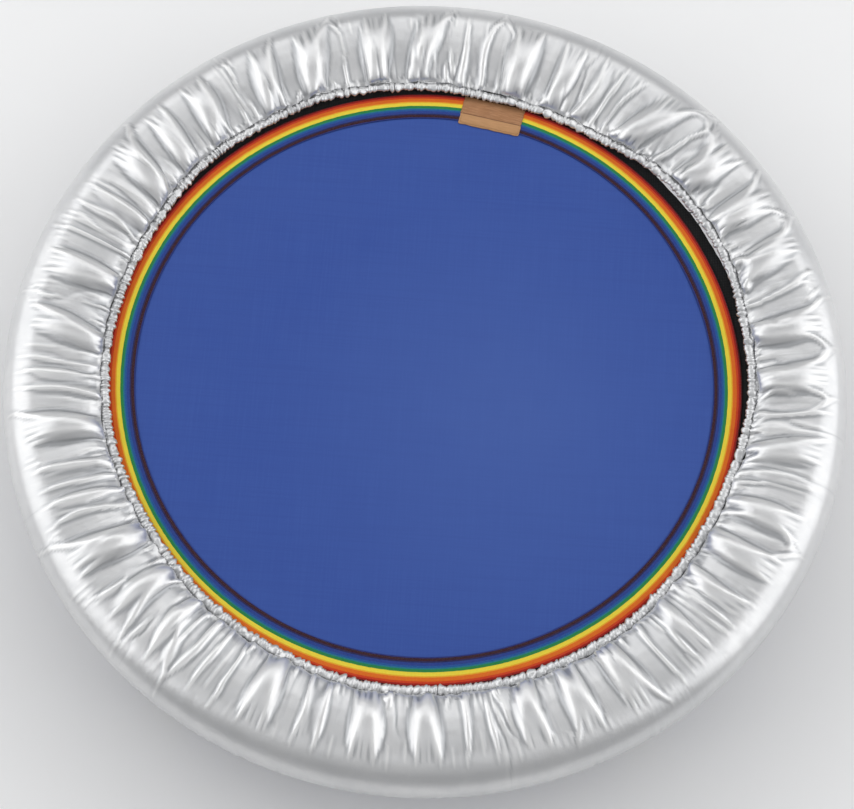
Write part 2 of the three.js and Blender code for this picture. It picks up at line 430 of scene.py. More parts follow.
def silver_cloth():
    """Cloth with a coat of metallic silver: a soft sheen, a fine grain and small pressed creases."""
    m = Mat("silver_coated_cloth", Metallic=0.72, Specular_IOR_Level=0.6)
    big = m.noise(9, 3)
    mid = m.noise(70, 4)
    fine = m.noise(900, 2)
    tone = m.mix(m.range(big, 0.35, 0.66, 0, 1), (0.66, 0.665, 0.672, 1), (0.75, 0.752, 0.755, 1))
    tone = m.mix(m.range(mid, 0.42, 0.62, 0.0, 0.22), tone, (0.62, 0.63, 0.645, 1))
    # painted shade and painted highlight: the colour is darkened in fold valleys and lightened on fold ridges,
    # following the cloth's curvature
    painted_fold_shading = m.node("ShaderNodeAttribute", attribute_name="painted_fold_shading").outputs["Fac"]
    tone = m.mix(m.range(painted_fold_shading, 0.05, 0.85, 0.0, 0.80), tone, (0.36, 0.37, 0.385, 1))
    tone = m.mix(m.range(painted_fold_shading, -0.80, -0.05, 0.70, 0.0), tone, (0.88, 0.88, 0.875, 1))
    m.color(tone)
    m.rough(m.math("ADD", m.range(mid, 0.3, 0.7, 0.30, 0.38), m.range(fine, 0.3, 0.7, -0.02, 0.04)))
    x, y, z = m.split()
    r, a, _ = m.polar()
    weave = m.math("MULTIPLY", m.wave(m.math("MULTIPLY", a, 0.45), 0.0009), m.wave(r, 0.0009))
    # fine creases that run from hem to hem
    run = m.noise(1.0, 4, 0.6, 0.3, m.join(m.math("MULTIPLY", a, 58.0), m.math("MULTIPLY", r, 11.0), m.math("MULTIPLY", z, 11.0)))
    hair = m.noise(1.0, 2, 0.5, 0.2, m.join(m.math("MULTIPLY", a, 190.0), m.math("MULTIPLY", r, 26.0), m.math("MULTIPLY", z, 26.0)))
    n0 = m.bump(run, 0.0009, 0.30)
    n0 = m.bump(hair, 0.0002, 0.30, n0)
    n1 = m.bump(m.noise(55, 5, 0.6, 0.6), 0.0010, 0.30, n0)
    n2 = m.bump(mid, 0.0004, 0.35, n1)
    m.bump(m.math("MULTIPLY_ADD", weave, 0.5, m.math("MULTIPLY", fine, 0.5)), 0.00008, 0.5, n2)
    return m.m


def cloth(name, base, dark, pitch=0.0011, rough=0.85, sheen=0.0, distance=0.00012, mottled=0.3):
    """A plain weave over x and y, z."""
    m = Mat(name, Sheen_Weight=sheen, Sheen_Roughness=0.5, Specular_IOR_Level=0.35)
    x, y, z = m.split()
    u = m.math("ADD", x, m.math("MULTIPLY", z, 0.7))
    v = m.math("ADD", y, m.math("MULTIPLY", z, 0.7))
    w = m.math("MULTIPLY", m.wave(u, pitch), m.wave(v, pitch))
    big = m.noise(40, 4)
    c = m.mix(w, dark, base)
    c = m.mix(m.range(big, 0.35, 0.7, 0.0, mottled), c, dark)
    m.color(c)
    m.rough(m.range(big, 0.3, 0.7, rough - 0.06, rough + 0.06))
    m.bump(w, distance, 0.8)
    return m.m


def mat_cloth():
    """The jumping mat: tight flat-tape weave in blue, slightly shiny, with thread streaks and light scuffs."""
    m = Mat("blue_woven_mat", Specular_IOR_Level=0.30, Sheen_Weight=0.03, Sheen_Roughness=0.4)
    x, y, z = m.split()
    pitch = 0.0012
    wx, wy = m.wave(x, pitch), m.wave(y, pitch)
    # over-and-under tapes
    over = m.math("GREATER_THAN", m.math("SINE", m.math("MULTIPLY", m.math("ADD", m.math("FLOOR", m.math("DIVIDE", x, pitch)), m.math("FLOOR", m.math("DIVIDE", y, pitch))), math.pi), 0.0), 0.0)
    base, lighter, deeper = lin(50, 81, 160), lin(61, 93, 172), lin(45, 73, 150)
    sx = m.noise(1.0, 2, 0.5, 0, m.join(m.math("MULTIPLY", x, 420), m.math("MULTIPLY", y, 9), 0.0))
    sy = m.noise(1.0, 2, 0.5, 0, m.join(m.math("MULTIPLY", x, 9), m.math("MULTIPLY", y, 420), 3.7))
    big = m.noise(5.0, 4, 0.6)
    mid = m.noise(28.0, 4, 0.6)
    c = m.mix(m.range(big, 0.35, 0.70, 0.0, 1.0), base, lin(53, 84, 162))
    c = m.mix(m.range(sx, 0.42, 0.72, 0.0, 0.35), c, lighter)
    c = m.mix(m.range(sy, 0.42, 0.72, 0.0, 0.35), c, deeper)
    c = m.mix(m.range(m.math("MULTIPLY", wx, wy), 0.0, 0.9, 0.20, 0.0), c, lin(28, 50, 122))
    # light scuffs where feet land, a little right of the middle
    d = m.math("SQRT", m.math("ADD", m.math("POWER", m.math("SUBTRACT", x, 0.10), 2.0), m.math("POWER", m.math("ADD", y, 0.05), 2.0)))
    spot = m.math("MULTIPLY", m.range(d, 0.02, 0.30, 0.55, 0.0), m.range(mid, 0.30, 0.70, 0.75, 1.0))
    c = m.mix(spot, c, lin(70, 98, 168))
    m.color(c)
    m.rough(m.math("ADD", m.range(mid, 0.3, 0.7, 0.50, 0.60), m.math("MULTIPLY", wx, 0.04)))
    n1 = m.bump(big, 0.004, 0.10)
    m.bump(m.math("MAXIMUM", wx, wy), 0.00012, 0.35, n1)
    return m.m


def stripes(name, inner, width, bands):
    """Bands of colour woven into a strap that runs round the middle; ribs across it."""
    m = Mat(name, Specular_IOR_Level=0.22, Sheen_Weight=0.03, Sheen_Roughness=0.45)
    r, a, z = m.polar()
    wob = m.noise(1.0, 2, 0.5, 0, m.join(m.math("MULTIPLY", a, 40.0), 0.0, 0.0))
    rr = m.math("ADD", r, m.range(wob, 0.3, 0.7, -0.0002, 0.0002))
    f = m.range(rr, inner, inner + width, 0.0, 1.0)
    c = m.ramp(f, [((e - inner) / width, col) for e, col in bands], "CONSTANT")
    ribs = m.wave(m.math("MULTIPLY", a, 0.375), 0.0016)
    warp = m.wave(r, 0.00075)
    tex = m.math("MULTIPLY", ribs, warp)
    c = m.mix(m.range(tex, 0.0, 1.0, 0.20, 0.0), c, (0.0, 0.0, 0.0, 1))
    fine = m.noise(700, 2)
    c = m.mix(m.range(fine, 0.35, 0.7, 0.0, 0.025), c, (0.9, 0.9, 0.9, 1))
    m.color(c)
    m.rough(m.range(fine, 0.3, 0.7, 0.66, 0.80))
    m.bump(tex, 0.00022, 0.8)
    return m.m


def rubber():
    m = Mat("black_rubber", Specular_IOR_Level=0.4)
    big, fine = m.noise(45, 4), m.noise(1500, 2)
    x, y, z = m.split()
    c = m.mix(m.range(big, 0.4, 0.65, 0, 1), (0.014, 0.014, 0.015, 1), (0.035, 0.035, 0.036, 1))
    dust = m.math("MULTIPLY", m.range(z, 0.0, 0.012, 1.0, 0.0), m.range(m.noise(120, 4), 0.4, 0.7, 0.0, 0.6))
    m.color(m.mix(dust, c, (0.16, 0.15, 0.14, 1)))
    m.rough(m.range(big, 0.3, 0.7, 0.55, 0.75))
    m.bump(fine, 0.00006, 0.5)
    return m.m


def foam_mat():
    m = Mat("grey_foam", Specular_IOR_Level=0.25, Subsurface_Weight=0.0)
    pores = m.voronoi(900)
    big = m.noise(25, 4)
    c = m.mix(m.range(big, 0.35, 0.7, 0, 1), (0.30, 0.31, 0.33, 1), (0.38, 0.39, 0.41, 1))
    m.color(m.mix(m.range(pores, 0.0, 0.45, 0.55, 0.0), c, (0.10, 0.10, 0.11, 1)))
    m.rough(m.range(big, 0.3, 0.7, 0.86, 0.96))
    n = m.bump(big, 0.003, 0.35)
    m.bump(pores, 0.0005, 0.7, n)
    return m.m


def leather():
    """Tan leather, its grain running along the strip; lighter inside its seam, and darkened towards its outer edge by
    painted shadow of the cover's hem.
    """
    m = Mat("tan_leather", Specular_IOR_Level=0.4)
    x, y, z = m.split()
    c0, s0 = math.cos(math.radians(80.1)), math.sin(math.radians(80.1))
    r = m.math("ADD", m.math("MULTIPLY", x, c0), m.math("MULTIPLY", y, s0))
    u = m.math("SUBTRACT", m.math("MULTIPLY", y, c0), m.math("MULTIPLY", x, s0))
    along = m.noise(1.0, 5, 0.62, 0.4, m.join(m.math("MULTIPLY", u, 70.0), m.math("MULTIPLY", r, 700.0), 0.0))
    big = m.noise(60, 4)
    pore = m.voronoi(1100)
    c = m.mix(m.range(along, 0.36, 0.64, 0.0, 1.0), lin(146, 102, 66), lin(180, 132, 94))
    c = m.mix(m.range(big, 0.35, 0.7, 0.0, 0.4), c, lin(166, 116, 76))
    c = m.mix(m.range(r, 0.3628, 0.3640, 0.50, 0.0), c, lin(204, 158, 108))
    # painted shadow of the cover's hem: the colour is darkened towards the patch's outer edge, next to the hem
    c = m.mix(m.range(r, 0.3800, 0.3887, 0.0, 0.55), c, lin(112, 78, 48))
    line = m.range(m.math("ABSOLUTE", m.math("SUBTRACT", r, 0.3640)), 0.0003, 0.0008, 0.65, 0.0)
    c = m.mix(line, c, lin(96, 62, 38))
    m.color(c)
    m.rough(m.range(big, 0.3, 0.7, 0.50, 0.68))
    n = m.bump(along, 0.0004, 0.5)
    m.bump(pore, 0.00018, 0.5, n)
    return m.m


def thread(name, col, dark):
    m = Mat(name, Specular_IOR_Level=0.4, Sheen_Weight=0.2)
    x, y, z = m.split()
    w = m.wave(m.math("ADD", m.math("ADD", x, y), z), 0.0008)
    m.color(m.mix(m.math("MULTIPLY", w, m.range(m.noise(300, 2), 0.3, 0.7, 0.6, 1.0)), dark, col))
    m.rough(m.range(m.noise(900, 2), 0.3, 0.7, 0.55, 0.75))
    m.bump(w, 0.0001, 0.6)
    return m.m


def floor_mat():
    m = Mat("pale_floor", Specular_IOR_Level=0.2)
    n = m.noise(3.0, 4)
    m.color(m.mix(m.range(n, 0.3, 0.7, 0, 1), (0.91, 0.91, 0.91, 1), (0.93, 0.93, 0.93, 1)))
    m.rough(m.range(n, 0.3, 0.7, 0.8, 0.9))
    return m.m


M_SILVER = silver_cloth()
M_MAT = mat_cloth()
B = lambda r, *c: (r / 1000, lin(*c))
M_WEB = stripes(
    "striped_webbing",
    WEB_IN,
    0.035,
    [
        B(356.0, 34, 50, 124),
        B(356.3, 60, 18, 38),
        B(359.9, 34, 34, 86),
        B(361.6, 36, 64, 146),
        B(365.4, 28, 88, 160),
        B(367.9, 26, 124, 142),
        B(369.6, 34, 138, 72),
        B(373.0, 255, 230, 66),
        B(377.6, 250, 178, 40),
        B(379.2, 243, 118, 22),
        B(383.8, 226, 66, 22),
        B(386.4, 178, 28, 20),
        B(388.9, 118, 18, 20),
    ],
)
M_STRAP = cloth("black_strap", (0.030, 0.031, 0.032, 1), (0.006, 0.006, 0.007, 1), 0.0022, 0.88, 0.1, 0.0005)
M_PATCH = leather()
M_THREAD_DARK = thread("dark_thread", (0.040, 0.009, 0.016, 1), (0.012, 0.003, 0.006, 1))
M_THREAD_TAN = thread("tan_thread", lin(205, 160, 108), lin(150, 104, 62))
M_THREAD_GREY = thread("grey_thread", lin(150, 152, 156), lin(95, 97, 100))
M_RING = zinc("zinc_plated_ring")
M_LEG = zinc("zinc_plated_legs", (0.60, 0.61, 0.63, 1))
M_BOLT = steel("bright_fasteners", (0.68, 0.69, 0.71, 1), (0.18, 0.32))
M_SPRING = steel("spring_wire", (0.62, 0.63, 0.65, 1), (0.22, 0.34), streak=0.22)
M_WELD = steel("weld_bead", (0.40, 0.40, 0.41, 1), (0.38, 0.55), streak=0.35, grain=500, bump=0.0001)
M_NYLON = Mat("blue_nylon", Specular_IOR_Level=0.5)
_n = M_NYLON.noise(400, 3)
M_NYLON.color(M_NYLON.mix(_n, (0.02, 0.05, 0.20, 1), (0.03, 0.09, 0.32, 1)))
M_NYLON.rough(M_NYLON.range(_n, 0.3, 0.7, 0.35, 0.5))
M_NYLON = M_NYLON.m
M_RUBBER = rubber()
M_FOAM = foam_mat()
M_ELASTIC = cloth("white_elastic", (0.78, 0.78, 0.76, 1), (0.45, 0.45, 0.44, 1), 0.0014, 0.8, 0.2, 0.0003)
M_FLOOR = floor_mat()


# ------------------------------------------------------------------ camera, lights, floor
def studio():
    sc = bpy.context.scene
    cam = bpy.data.cameras.new("camera")
    ob = bpy.data.objects.new("camera", cam)
    sc.collection.objects.link(ob)
    sc.camera = ob
    e, roll, dist = math.radians(69.36), math.radians(3.83), 2.4
    back = Vector((0, -math.cos(e), math.sin(e)))
    right = Vector((1, 0, 0))
    up = back.cross(right)
    r = math.cos(roll) * right + math.sin(roll) * up
    u = -math.sin(roll) * right + math.cos(roll) * up
    m = Matrix((r, u, back)).transposed().to_4x4()
    m.translation = Vector((0.0048, -0.0401, 0.186)) + back * dist
    ob.matrix_world = m
    cam.sensor_width = 36
    cam.lens = 1963.7 / 854 * 36
    cam.clip_end = 50

    def area(name, az, el, far, size, power, aim=(0, 0, 0.15)):
        li = bpy.data.lights.new(name, "AREA")
        li.shape, li.size, li.size_y, li.energy = "RECTANGLE", size[0], size[1], power
        o = bpy.data.objects.new(name, li)
        sc.collection.objects.link(o)
        a, b = math.radians(az), math.radians(el)
        o.location = Vector(aim) + far * Vector((math.cos(a) * math.cos(b), math.sin(a) * math.cos(b), math.sin(b)))
        o.rotation_euler = (Vector(aim) - o.location).to_track_quat("-Z", "Y").to_euler()
        return o

    area("softbox_left", 177, 34, 3.0, (3.8, 2.9), LIGHTS[0])
    area("softbox_right", 3, 34, 3.0, (3.8, 2.9), LIGHTS[1])
    area("softbox_front", 268, 48, 3.2, (2.6, 1.4), LIGHTS[2])
    area("softbox_back", 92, 50, 3.2, (4.4, 1.8), LIGHTS[3])
    area("softbox_above", 270, 78, 3.2, (3.0, 2.0), LIGHTS[5])

    w = bpy.data.worlds.new("studio")
    sc.world = w
    w.use_nodes = True
    bg = w.node_tree.nodes["Background"]
    bg.inputs[0].default_value = (0.97, 0.98, 1.0, 1)
    # the room is a little brighter low down at the back
    nt = w.node_tree
    co, xyz = nt.nodes.new("ShaderNodeTexCoord"), nt.nodes.new("ShaderNodeSeparateXYZ")
    nt.links.new(co.outputs["Generated"], xyz.inputs[0])

    def fade(out, a, b, lo, hi):
        n = nt.nodes.new("ShaderNodeMapRange")
        n.interpolation_type = "SMOOTHSTEP"
        nt.links.new(out, n.inputs["Value"])
        for k, v in (("From Min", a), ("From Max", b), ("To Min", lo), ("To Max", hi)):
            n.inputs[k].default_value = v
        return n.outputs[0]

    low, back_side = fade(xyz.outputs[2], 0.0, 0.42, 1.0, 0.0), fade(xyz.outputs[1], -0.35, 0.55, 0.12, 1.0)
    mul, add = nt.nodes.new("ShaderNodeMath"), nt.nodes.new("ShaderNodeMath")
    mul.operation, add.operation = "MULTIPLY", "MULTIPLY_ADD"
    nt.links.new(low, mul.inputs[0])
    nt.links.new(back_side, mul.inputs[1])
    nt.links.new(mul.outputs[0], add.inputs[0])
    add.inputs[1].default_value = 0.42
    add.inputs[2].default_value = LIGHTS[4]
    nt.links.new(add.outputs[0], bg.inputs[1])

    fl = Geo()
    n = 24
    t = np.linspace(-4.0, 4.0, n)
    x, y = np.meshgrid(t, t)
    fl.add(np.stack([x, y, np.zeros_like(x)], -1), grid_faces(n, n))
    fl.object("floor", M_FLOOR, fix=False)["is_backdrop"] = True
    sc.view_settings.view_transform = "Standard"
    sc.view_settings.exposure = 0.0


LIGHTS = (46, 46, 2, 25, 0.31, 7.6)
studio()


# ------------------------------------------------------------------ ring and its welds
def ring():
    n, k = 360, 36
    a = TAU * np.arange(k) / k
    outer = np.stack([RING_R + TUBE_R * np.cos(a), RING_Z + TUBE_R * np.sin(a)], 1)
    inner = np.stack([RING_R + (TUBE_R - 0.002) * np.cos(a), RING_Z + (TUBE_R - 0.002) * np.sin(a)], 1)
    g = Geo()
    V, F = revolve(outer, n)
    g.add(V, F[:, ::-1])
    V, F = revolve(inner, n)
    g.add(V, F)
    ob = g.object("ring_tube", M_RING, fix=False)
    bm = bmesh.new()
    bm.from_mesh(ob.data)
    if bm.calc_volume(signed=True) < 0:
        bmesh.ops.reverse_faces(bm, faces=bm.faces)
    bm.to_mesh(ob.data)
    bm.free()
    c = Geo()
    for az in SPRING_AZ:
        t = TAU * np.arange(20) / 20
        V = []
        for R, grow in ((0.4600, 1.0), (0.4730, 1.0)):
            V += [[R, 0.0034 * grow * math.cos(q), 0.1812 + 0.0034 * grow * math.sin(q)] for q in t]
        F = [[i, (i + 1) % 20, 20 + (i + 1) % 20, 20 + i] for i in range(20)]
        F += [list(range(20)), list(range(20, 40))]
        c.add(at(az, V), F)
    cutter = c.object("cutter", M_RING, smooth=False)
    cut(ob, cutter)
    smooth_by_angle(ob, 40)
    place(ob, "frame", "ring_steel", "frame_ring")
    # butt weld where the bent tube's ends meet, ground nearly flush
    rng = np.random.default_rng(3)
    w = Geo()
    k = 72
    a = TAU * np.arange(k) / k
    rip = 1 + 0.18 * np.sin(a * 31) + 0.1 * noise1(rng, k, 2, 20)
    rows = []
    for s, h in ((-1.0, -0.0004), (-0.62, 0.0004), (0.0, 0.0007), (0.62, 0.0004), (1.0, -0.0004)):
        r = TUBE_R + h * rip
        rows.append(np.stack([RING_R + r * np.cos(a), 0.0024 * s + 0.0004 * np.sin(a * 31 + 1.0) * abs(1 - abs(s)), RING_Z + r * np.sin(a)], 1))
    r = TUBE_R - 0.0012
    rows.append(np.stack([RING_R + r * np.cos(a), 0 * a, RING_Z + r * np.sin(a)], 1))
    w.add(at(math.radians(126), np.array(rows)), grid_faces(6, k, True, True))
    place(w.object("ring_butt_weld", M_WELD), "frame", "ring_steel")


ring()


# ------------------------------------------------------------------ legs: brackets, bolts, tubes, feet
def leg_axes(i):
    az, s = LEG_AZ[i], FOLD_SIDE[i]
    r = np.array([math.cos(az), math.sin(az), 0])
    t = np.array([-math.sin(az), math.cos(az), 0])
    f = s * math.cos(FOLD_TILT) * t - math.sin(FOLD_TILT) * r
    z = np.array([0, 0, 1.0])
    return np.array([f, np.cross(z, f), z]), RING_R * r


def leg_place(i, pts):
    A, o = leg_axes(i)
    return np.asarray(pts, float).reshape(-1, 3) @ A + o


def disc_stack(profile, n, axis="y", k=None):
    """Turned piece: [radius, along] profile round an axis; k gives a corner count for a hexagon."""
    p = np.asarray(profile, float)
    t = TAU * np.arange(n) / n
    V = []
    for r, h in p:
        ca, sa = np.cos(t), np.sin(t)
        V.append(np.stack([r * ca, np.full(n, h), r * sa], 1))
    V = np.array(V)
    if axis == "z":
        V = V[..., [0, 2, 1]]
    F = grid_faces(len(p), n, False, True).tolist()
    F += [list(range(n)), list(range((len(p) - 1) * n, len(p) * n))]
    return V.reshape(-1, 3), F


def hexagon(width, lo, hi, chamfer):
    """A hexagon across y with its corners turned off, as a bolt head or nut."""
    n = 48
    t = TAU * np.arange(n) / n
    flat = width / 2
    hx = flat / np.cos((t + math.pi / 6) % (math.pi / 3) - math.pi / 6)
    rows = []
    for h, cap in ((lo, flat * 0.98), (lo, flat * 1.0), (lo + chamfer, 9), (hi - chamfer, 9), (hi, flat * 1.0), (hi, flat * 0.98)):
        r = np.minimum(hx, cap)
        rows.append(np.stack([r * np.cos(t), np.full(n, h), r * np.sin(t)], 1))
    F = grid_faces(6, n, False, True).tolist() + [list(range(n)), list(range(5 * n, 6 * n))]
    return np.array(rows).reshape(-1, 3), F


def legs():
    rng = np.random.default_rng(11)
    for i in range(5):
        name = str(i + 1)
        # bracket: the plate as packed, with rolled edges
        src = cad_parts["leg_bracket_" + name]
        me = src.data.copy()
        ob = bpy.data.objects.new("bracket_" + name, me)
        bpy.context.scene.collection.objects.link(ob)
        bm = bmesh.new()
        bm.from_mesh(me)
        bmesh.ops.remove_doubles(bm, verts=bm.verts, dist=2e-6)
        bmesh.ops.dissolve_limit(bm, angle_limit=math.radians(1.0), verts=bm.verts, edges=bm.edges)
        bmesh.ops.recalc_face_normals(bm, faces=bm.faces)
        bm.to_mesh(me)
        bm.free()
        me.materials.clear()
        me.materials.append(M_LEG)
        bevel(ob, 0.0004, 2, 40)
        smooth_by_angle(ob, 50)
        place(ob, "frame", "ring_steel", "leg_bracket_" + name)
        # weld beads along both long edges of the saddle plate
        w = Geo()
        for sx in (-1, 1):
            m = 30
            u = np.linspace(-0.0140, 0.0140, m)
            pts = []
            A, o = leg_axes(i)
            for j, y in enumerate(u):
                # the ring's underside above this point of the plate's edge
                x = sx * 0.0152
                p = np.array([x, y, 0]) @ A + o
                R = math.hypot(p[0], p[1])
                d = min(abs(R - RING_R), TUBE_R * 0.98)
                zr = RING_Z - math.sqrt(max(TUBE_R**2 - d * d, 0))
                pts.append([x, y, min((zr + 0.1627) / 2, 0.1640)])
            rad = 0.0017 * (1 + 0.22 * np.sin(np.arange(m) * 2.1) + 0.12 * rng.normal(size=m)).clip(0.6, 1.4)
            rad[0] *= 0.55
            rad[-1] *= 0.55
            V, F = sweep(leg_place(i, pts), rad, 8)
            w.add(V, F)
        place(w.object("bracket_welds_" + name, M_WELD), "frame", "ring_steel")
        # pivot bolt: head with washer face, shank, thread, washers, lock nut with its nylon ring
        b = Geo()
        c = lambda VF, dz=0.144: (leg_place(i, VF[0] + np.array([0, 0, dz])), VF[1])
        V, F = hexagon(0.0130, -0.0195, -0.0163, 0.0007)
        b.add(*c((V, F)))
        b.add(*c(disc_stack([[0.0056, -0.0163], [0.0074, -0.0163], [0.0076, -0.0161], [0.0076, -0.0156], [0.0074, -0.0154], [0.0040, -0.0154]], 36)))
        prof = [[0.0030, -0.0160], [0.0039, -0.0155], [0.0039, 0.0150]]
        y = 0.0152
        while y < 0.0186:
            prof += [[0.0039, y], [0.0036, y + 0.0003]]
            y += 0.0006
        prof += [[0.0035, 0.0188], [0.0031, 0.0190], [0.0015, 0.0190]]
        b.add(*c(disc_stack(prof, 28)))
        V, F = hexagon(0.0122, 0.0155, 0.0180, 0.0006)
        b.add(*c((V, F)))
        b.add(*c(disc_stack([[0.0056, 0.0180], [0.0056, 0.0183], [0.0052, 0.0186], [0.0041, 0.0186]], 32)), m=1)
        place(b.object("pivot_bolt_set_" + name, [M_BOLT, M_NYLON], sharp=38), "frame", "zinc_fastener", "pivot_bolt_" + name)
        # leg tube: hollow, rounded ends, cross hole for the bolt
        t = Geo()
        ro, ri, lo, hi = 0.0125, 0.0109, 0.0053, 0.1533
        prof = [[ri, lo + 0.0006], [ri + 0.0005, lo], [ro - 0.0005, lo], [ro, lo + 0.0006], [ro, lo + 0.02], [ro, 0.05], [ro, 0.10], [ro, 0.13], [ro, hi - 0.0006], [ro - 0.0005, hi], [ri + 0.0005, hi], [ri, hi - 0.0006], [ri, 0.13], [ri, 0.10], [ri, 0.05]]
        th = TAU * np.arange(48) / 48
        V = np.array([np.stack([r * np.cos(th), r * np.sin(th), np.full(48, h)], 1) for r, h in prof])
        t.add(leg_place(i, V), grid_faces(len(prof), 48, True, True))
        ob = t.object("leg_" + name, M_LEG)
        h = Geo()
        V, F = disc_stack([[0.00425, -0.02], [0.00425, 0.02]], 28)
        h.add(leg_place(i, V + np.array([0, 0, 0.144])), F)
        cut(ob, h.object("cutter", M_LEG, smooth=False))
        smooth_by_angle(ob, 40)
        place(ob, "leg_" + name, "leg_steel", "leg_tube_" + name)
        # foot: a ribbed rubber cap with a treaded sole
        q = Geo()
        R0 = 0.0165
        prof = [[0.0128, 0.0300], [0.0133, 0.0306], [0.0144, 0.0306], [0.0150, 0.0300], [0.0151, 0.0290], [0.0146, 0.0282]]
        z = 0.0282
        while z > 0.0095:
            prof += [[0.0146, z], [0.0152, z - 0.0006], [0.0152, z - 0.0014], [0.0146, z - 0.0020]]
            z -= 0.0032
        prof += [[0.0148, 0.0075], [0.0156, 0.0058], [0.0163, 0.0044], [R0, 0.0030], [R0, 0.0014], [0.0160, 0.0004], [0.0152, 0.0]]
        r = 0.0140
        while r > 0.003:
            prof += [[r, 0.0], [r - 0.0004, 0.0009], [r - 0.0014, 0.0009], [r - 0.0018, 0.0]]
            r -= 0.0034
        prof += [[0.0006, 0.0], [0.0006, 0.0050], [0.0125, 0.0050], [0.01262, 0.0060], [0.01262, 0.0296]]
        prof = np.array(prof)
        prof[:, 1] *= 0.030 / 0.0306
        th = TAU * np.arange(48) / 48
        V = np.array([np.stack([a * np.cos(th), a * np.sin(th), np.full(48, b)], 1) for a, b in prof])
        q.add(leg_place(i, V), grid_faces(len(prof), 48, True, True))
        place(q.object("rubber_cap_" + name, M_RUBBER, sharp=50), "leg_" + name, "foot_rubber", "rubber_foot_" + name)


legs()


# ------------------------------------------------------------------ springs
def spring(i):
    az = SPRING_AZ[i]
    wr, cr = 0.00110, 0.0054
    r0, r1 = 0.4192, 0.4560
    turns = 15.5
    per = 18
    n = int(turns * per)
    s = np.arange(n + 1) / n
    # the coil begins at the top, where the hook leaves it
    a = math.pi / 2 + TAU * turns * s
    coil = np.stack([r0 + (r1 - r0) * s, cr * np.cos(a), SPRING_Z + cr * np.sin(a)], 1)
    z = SPRING_Z
    inner = smooth_path(
        [[0.4156, 0.0, z - 0.0050], [0.4137, 0, z - 0.0056], [0.4127, 0.0, z - 0.0044], [0.4122, 0, z - 0.0010], [0.4122, 0.0, z + 0.0028], [0.4132, 0, z + 0.0052], [0.4155, 0.0004, z + 0.0058], coil[0]], 5
    )[:-1]
    end = coil[-1]
    q = a[-1]
    tail = []
    for k in range(1, 7):
        f = k / 6
        rr = cr * (1 - f) ** 1.2
        tail.append([end[0] + 0.0048 * f, rr * math.cos(q + f * 1.6), z + rr * math.sin(q + f * 1.6)])
    tail += [[0.4640, 0, z], [0.4672, 0, z], [0.4693, 0, z - 0.0010], [0.4702, 0, z - 0.0032], [0.4702, 0, z - 0.0068]]
    outer = smooth_path([end] + tail, 3)[1:]
    path = np.concatenate([inner, coil, outer])
    g = Geo()
    V, F = sweep(at(az, path), wr, 8)
    g.add(V, F)
    ob = g.object("spring_%02d" % (i + 1), M_SPRING)
    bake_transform(ob)
    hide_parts("tension_spring_%02d" % (i + 1))


for i in range(SPRINGS):
    spring(i)


# ------------------------------------------------------------------ jumping mat and what is sewn on it
def jump_mat():
    n = 240
    rng = np.random.default_rng(5)
    th = TAU * np.arange(n) / n
    R = np.concatenate([np.linspace(0.006, 0.345, 44), np.linspace(0.350, MAT_R - 0.0006, 16)])
    und = 0.5 * noise1(rng, n, 2, 7)
    tuck = np.cos(th * SPRINGS - SPRING_AZ[0] * SPRINGS)

    def top(r, at=MAT_TOP):
        k = np.clip((0.350 - r) / 0.350, 0, 1)
        sag = -0.0016 * k**0.8 + 0.0003 * k * (1 - k) * 4 * und
        edge = np.clip((r - 0.372) / 0.02, 0, 1) * 0.00008 * tuck
        return at + sag + edge

    up = [np.stack([r * np.cos(th), r * np.sin(th), top(r)], 1) for r in R]
    rim = [[MAT_R, MAT_TOP - 0.0004], [MAT_R, MAT_UNDER + 0.0004]]
    side = [np.stack([r * np.cos(th), r * np.sin(th), np.full(n, z)], 1) for r, z in rim]
    down = [np.stack([r * np.cos(th), r * np.sin(th), top(r, MAT_UNDER)], 1) for r in R[::-1]]
    rows = np.array(up + side + down)
    g = Geo()
    m = len(rows)
    g.add(rows, grid_faces(m, n, False, True))
    mid_t = [[0, 0, MAT_TOP - 0.0016]]
    mid_b = [[0, 0, MAT_UNDER - 0.0016]]
    a, b = g.n, g.n + 1
    g.v.append(np.array(mid_t + mid_b))
    g.n += 2
    last = (m - 1) * n
    g.f += [[a, (i + 1) % n, i] for i in range(n)] + [[b, last + i, last + (i + 1) % n] for i in range(n)]
    g.m += [0] * (2 * n)
    ob = g.object("woven_mat", M_MAT)
    place(ob, "mat", "mat_fabric", "jump_mat")


def stitches(g, path, length=0.0030, pitch=0.0042, radius=0.00034, lift=0.0, sink=0.0005, sides=5, m=0):
    """A row of stitches along a closed or open path of points: each rises out of the cloth and dips back."""
    P = np.asarray(path, float)
    d = np.linalg.norm(np.diff(P, axis=0), axis=1)
    s = np.concatenate([[0], np.cumsum(d)])
    count = int(s[-1] / pitch)
    for k in range(count):
        a = (k + 0.5) * s[-1] / count
        q = np.linspace(a - length / 2, a + length / 2, 5)
        p = np.stack([np.interp(q, s, P[:, c]) for c in range(3)], 1)
        p[:, 2] += lift + np.array([-sink, 0, radius * 0.5, 0, -sink])
        V, F = sweep(p, radius, sides, up=(0, 0, 1))
        g.add(V, F, m)


def circle(r, z, n=720, wob=0.0, seed=0):
    t = TAU * np.arange(n + 1) / n
    w = np.zeros(n + 1)
    if wob:
        w[:n] = wob * noise1(np.random.default_rng(seed), n, 3, 40)
        w[n] = w[0]
    return np.stack([(r + w) * np.cos(t), (r + w) * np.sin(t), np.full(n + 1, z)], 1)


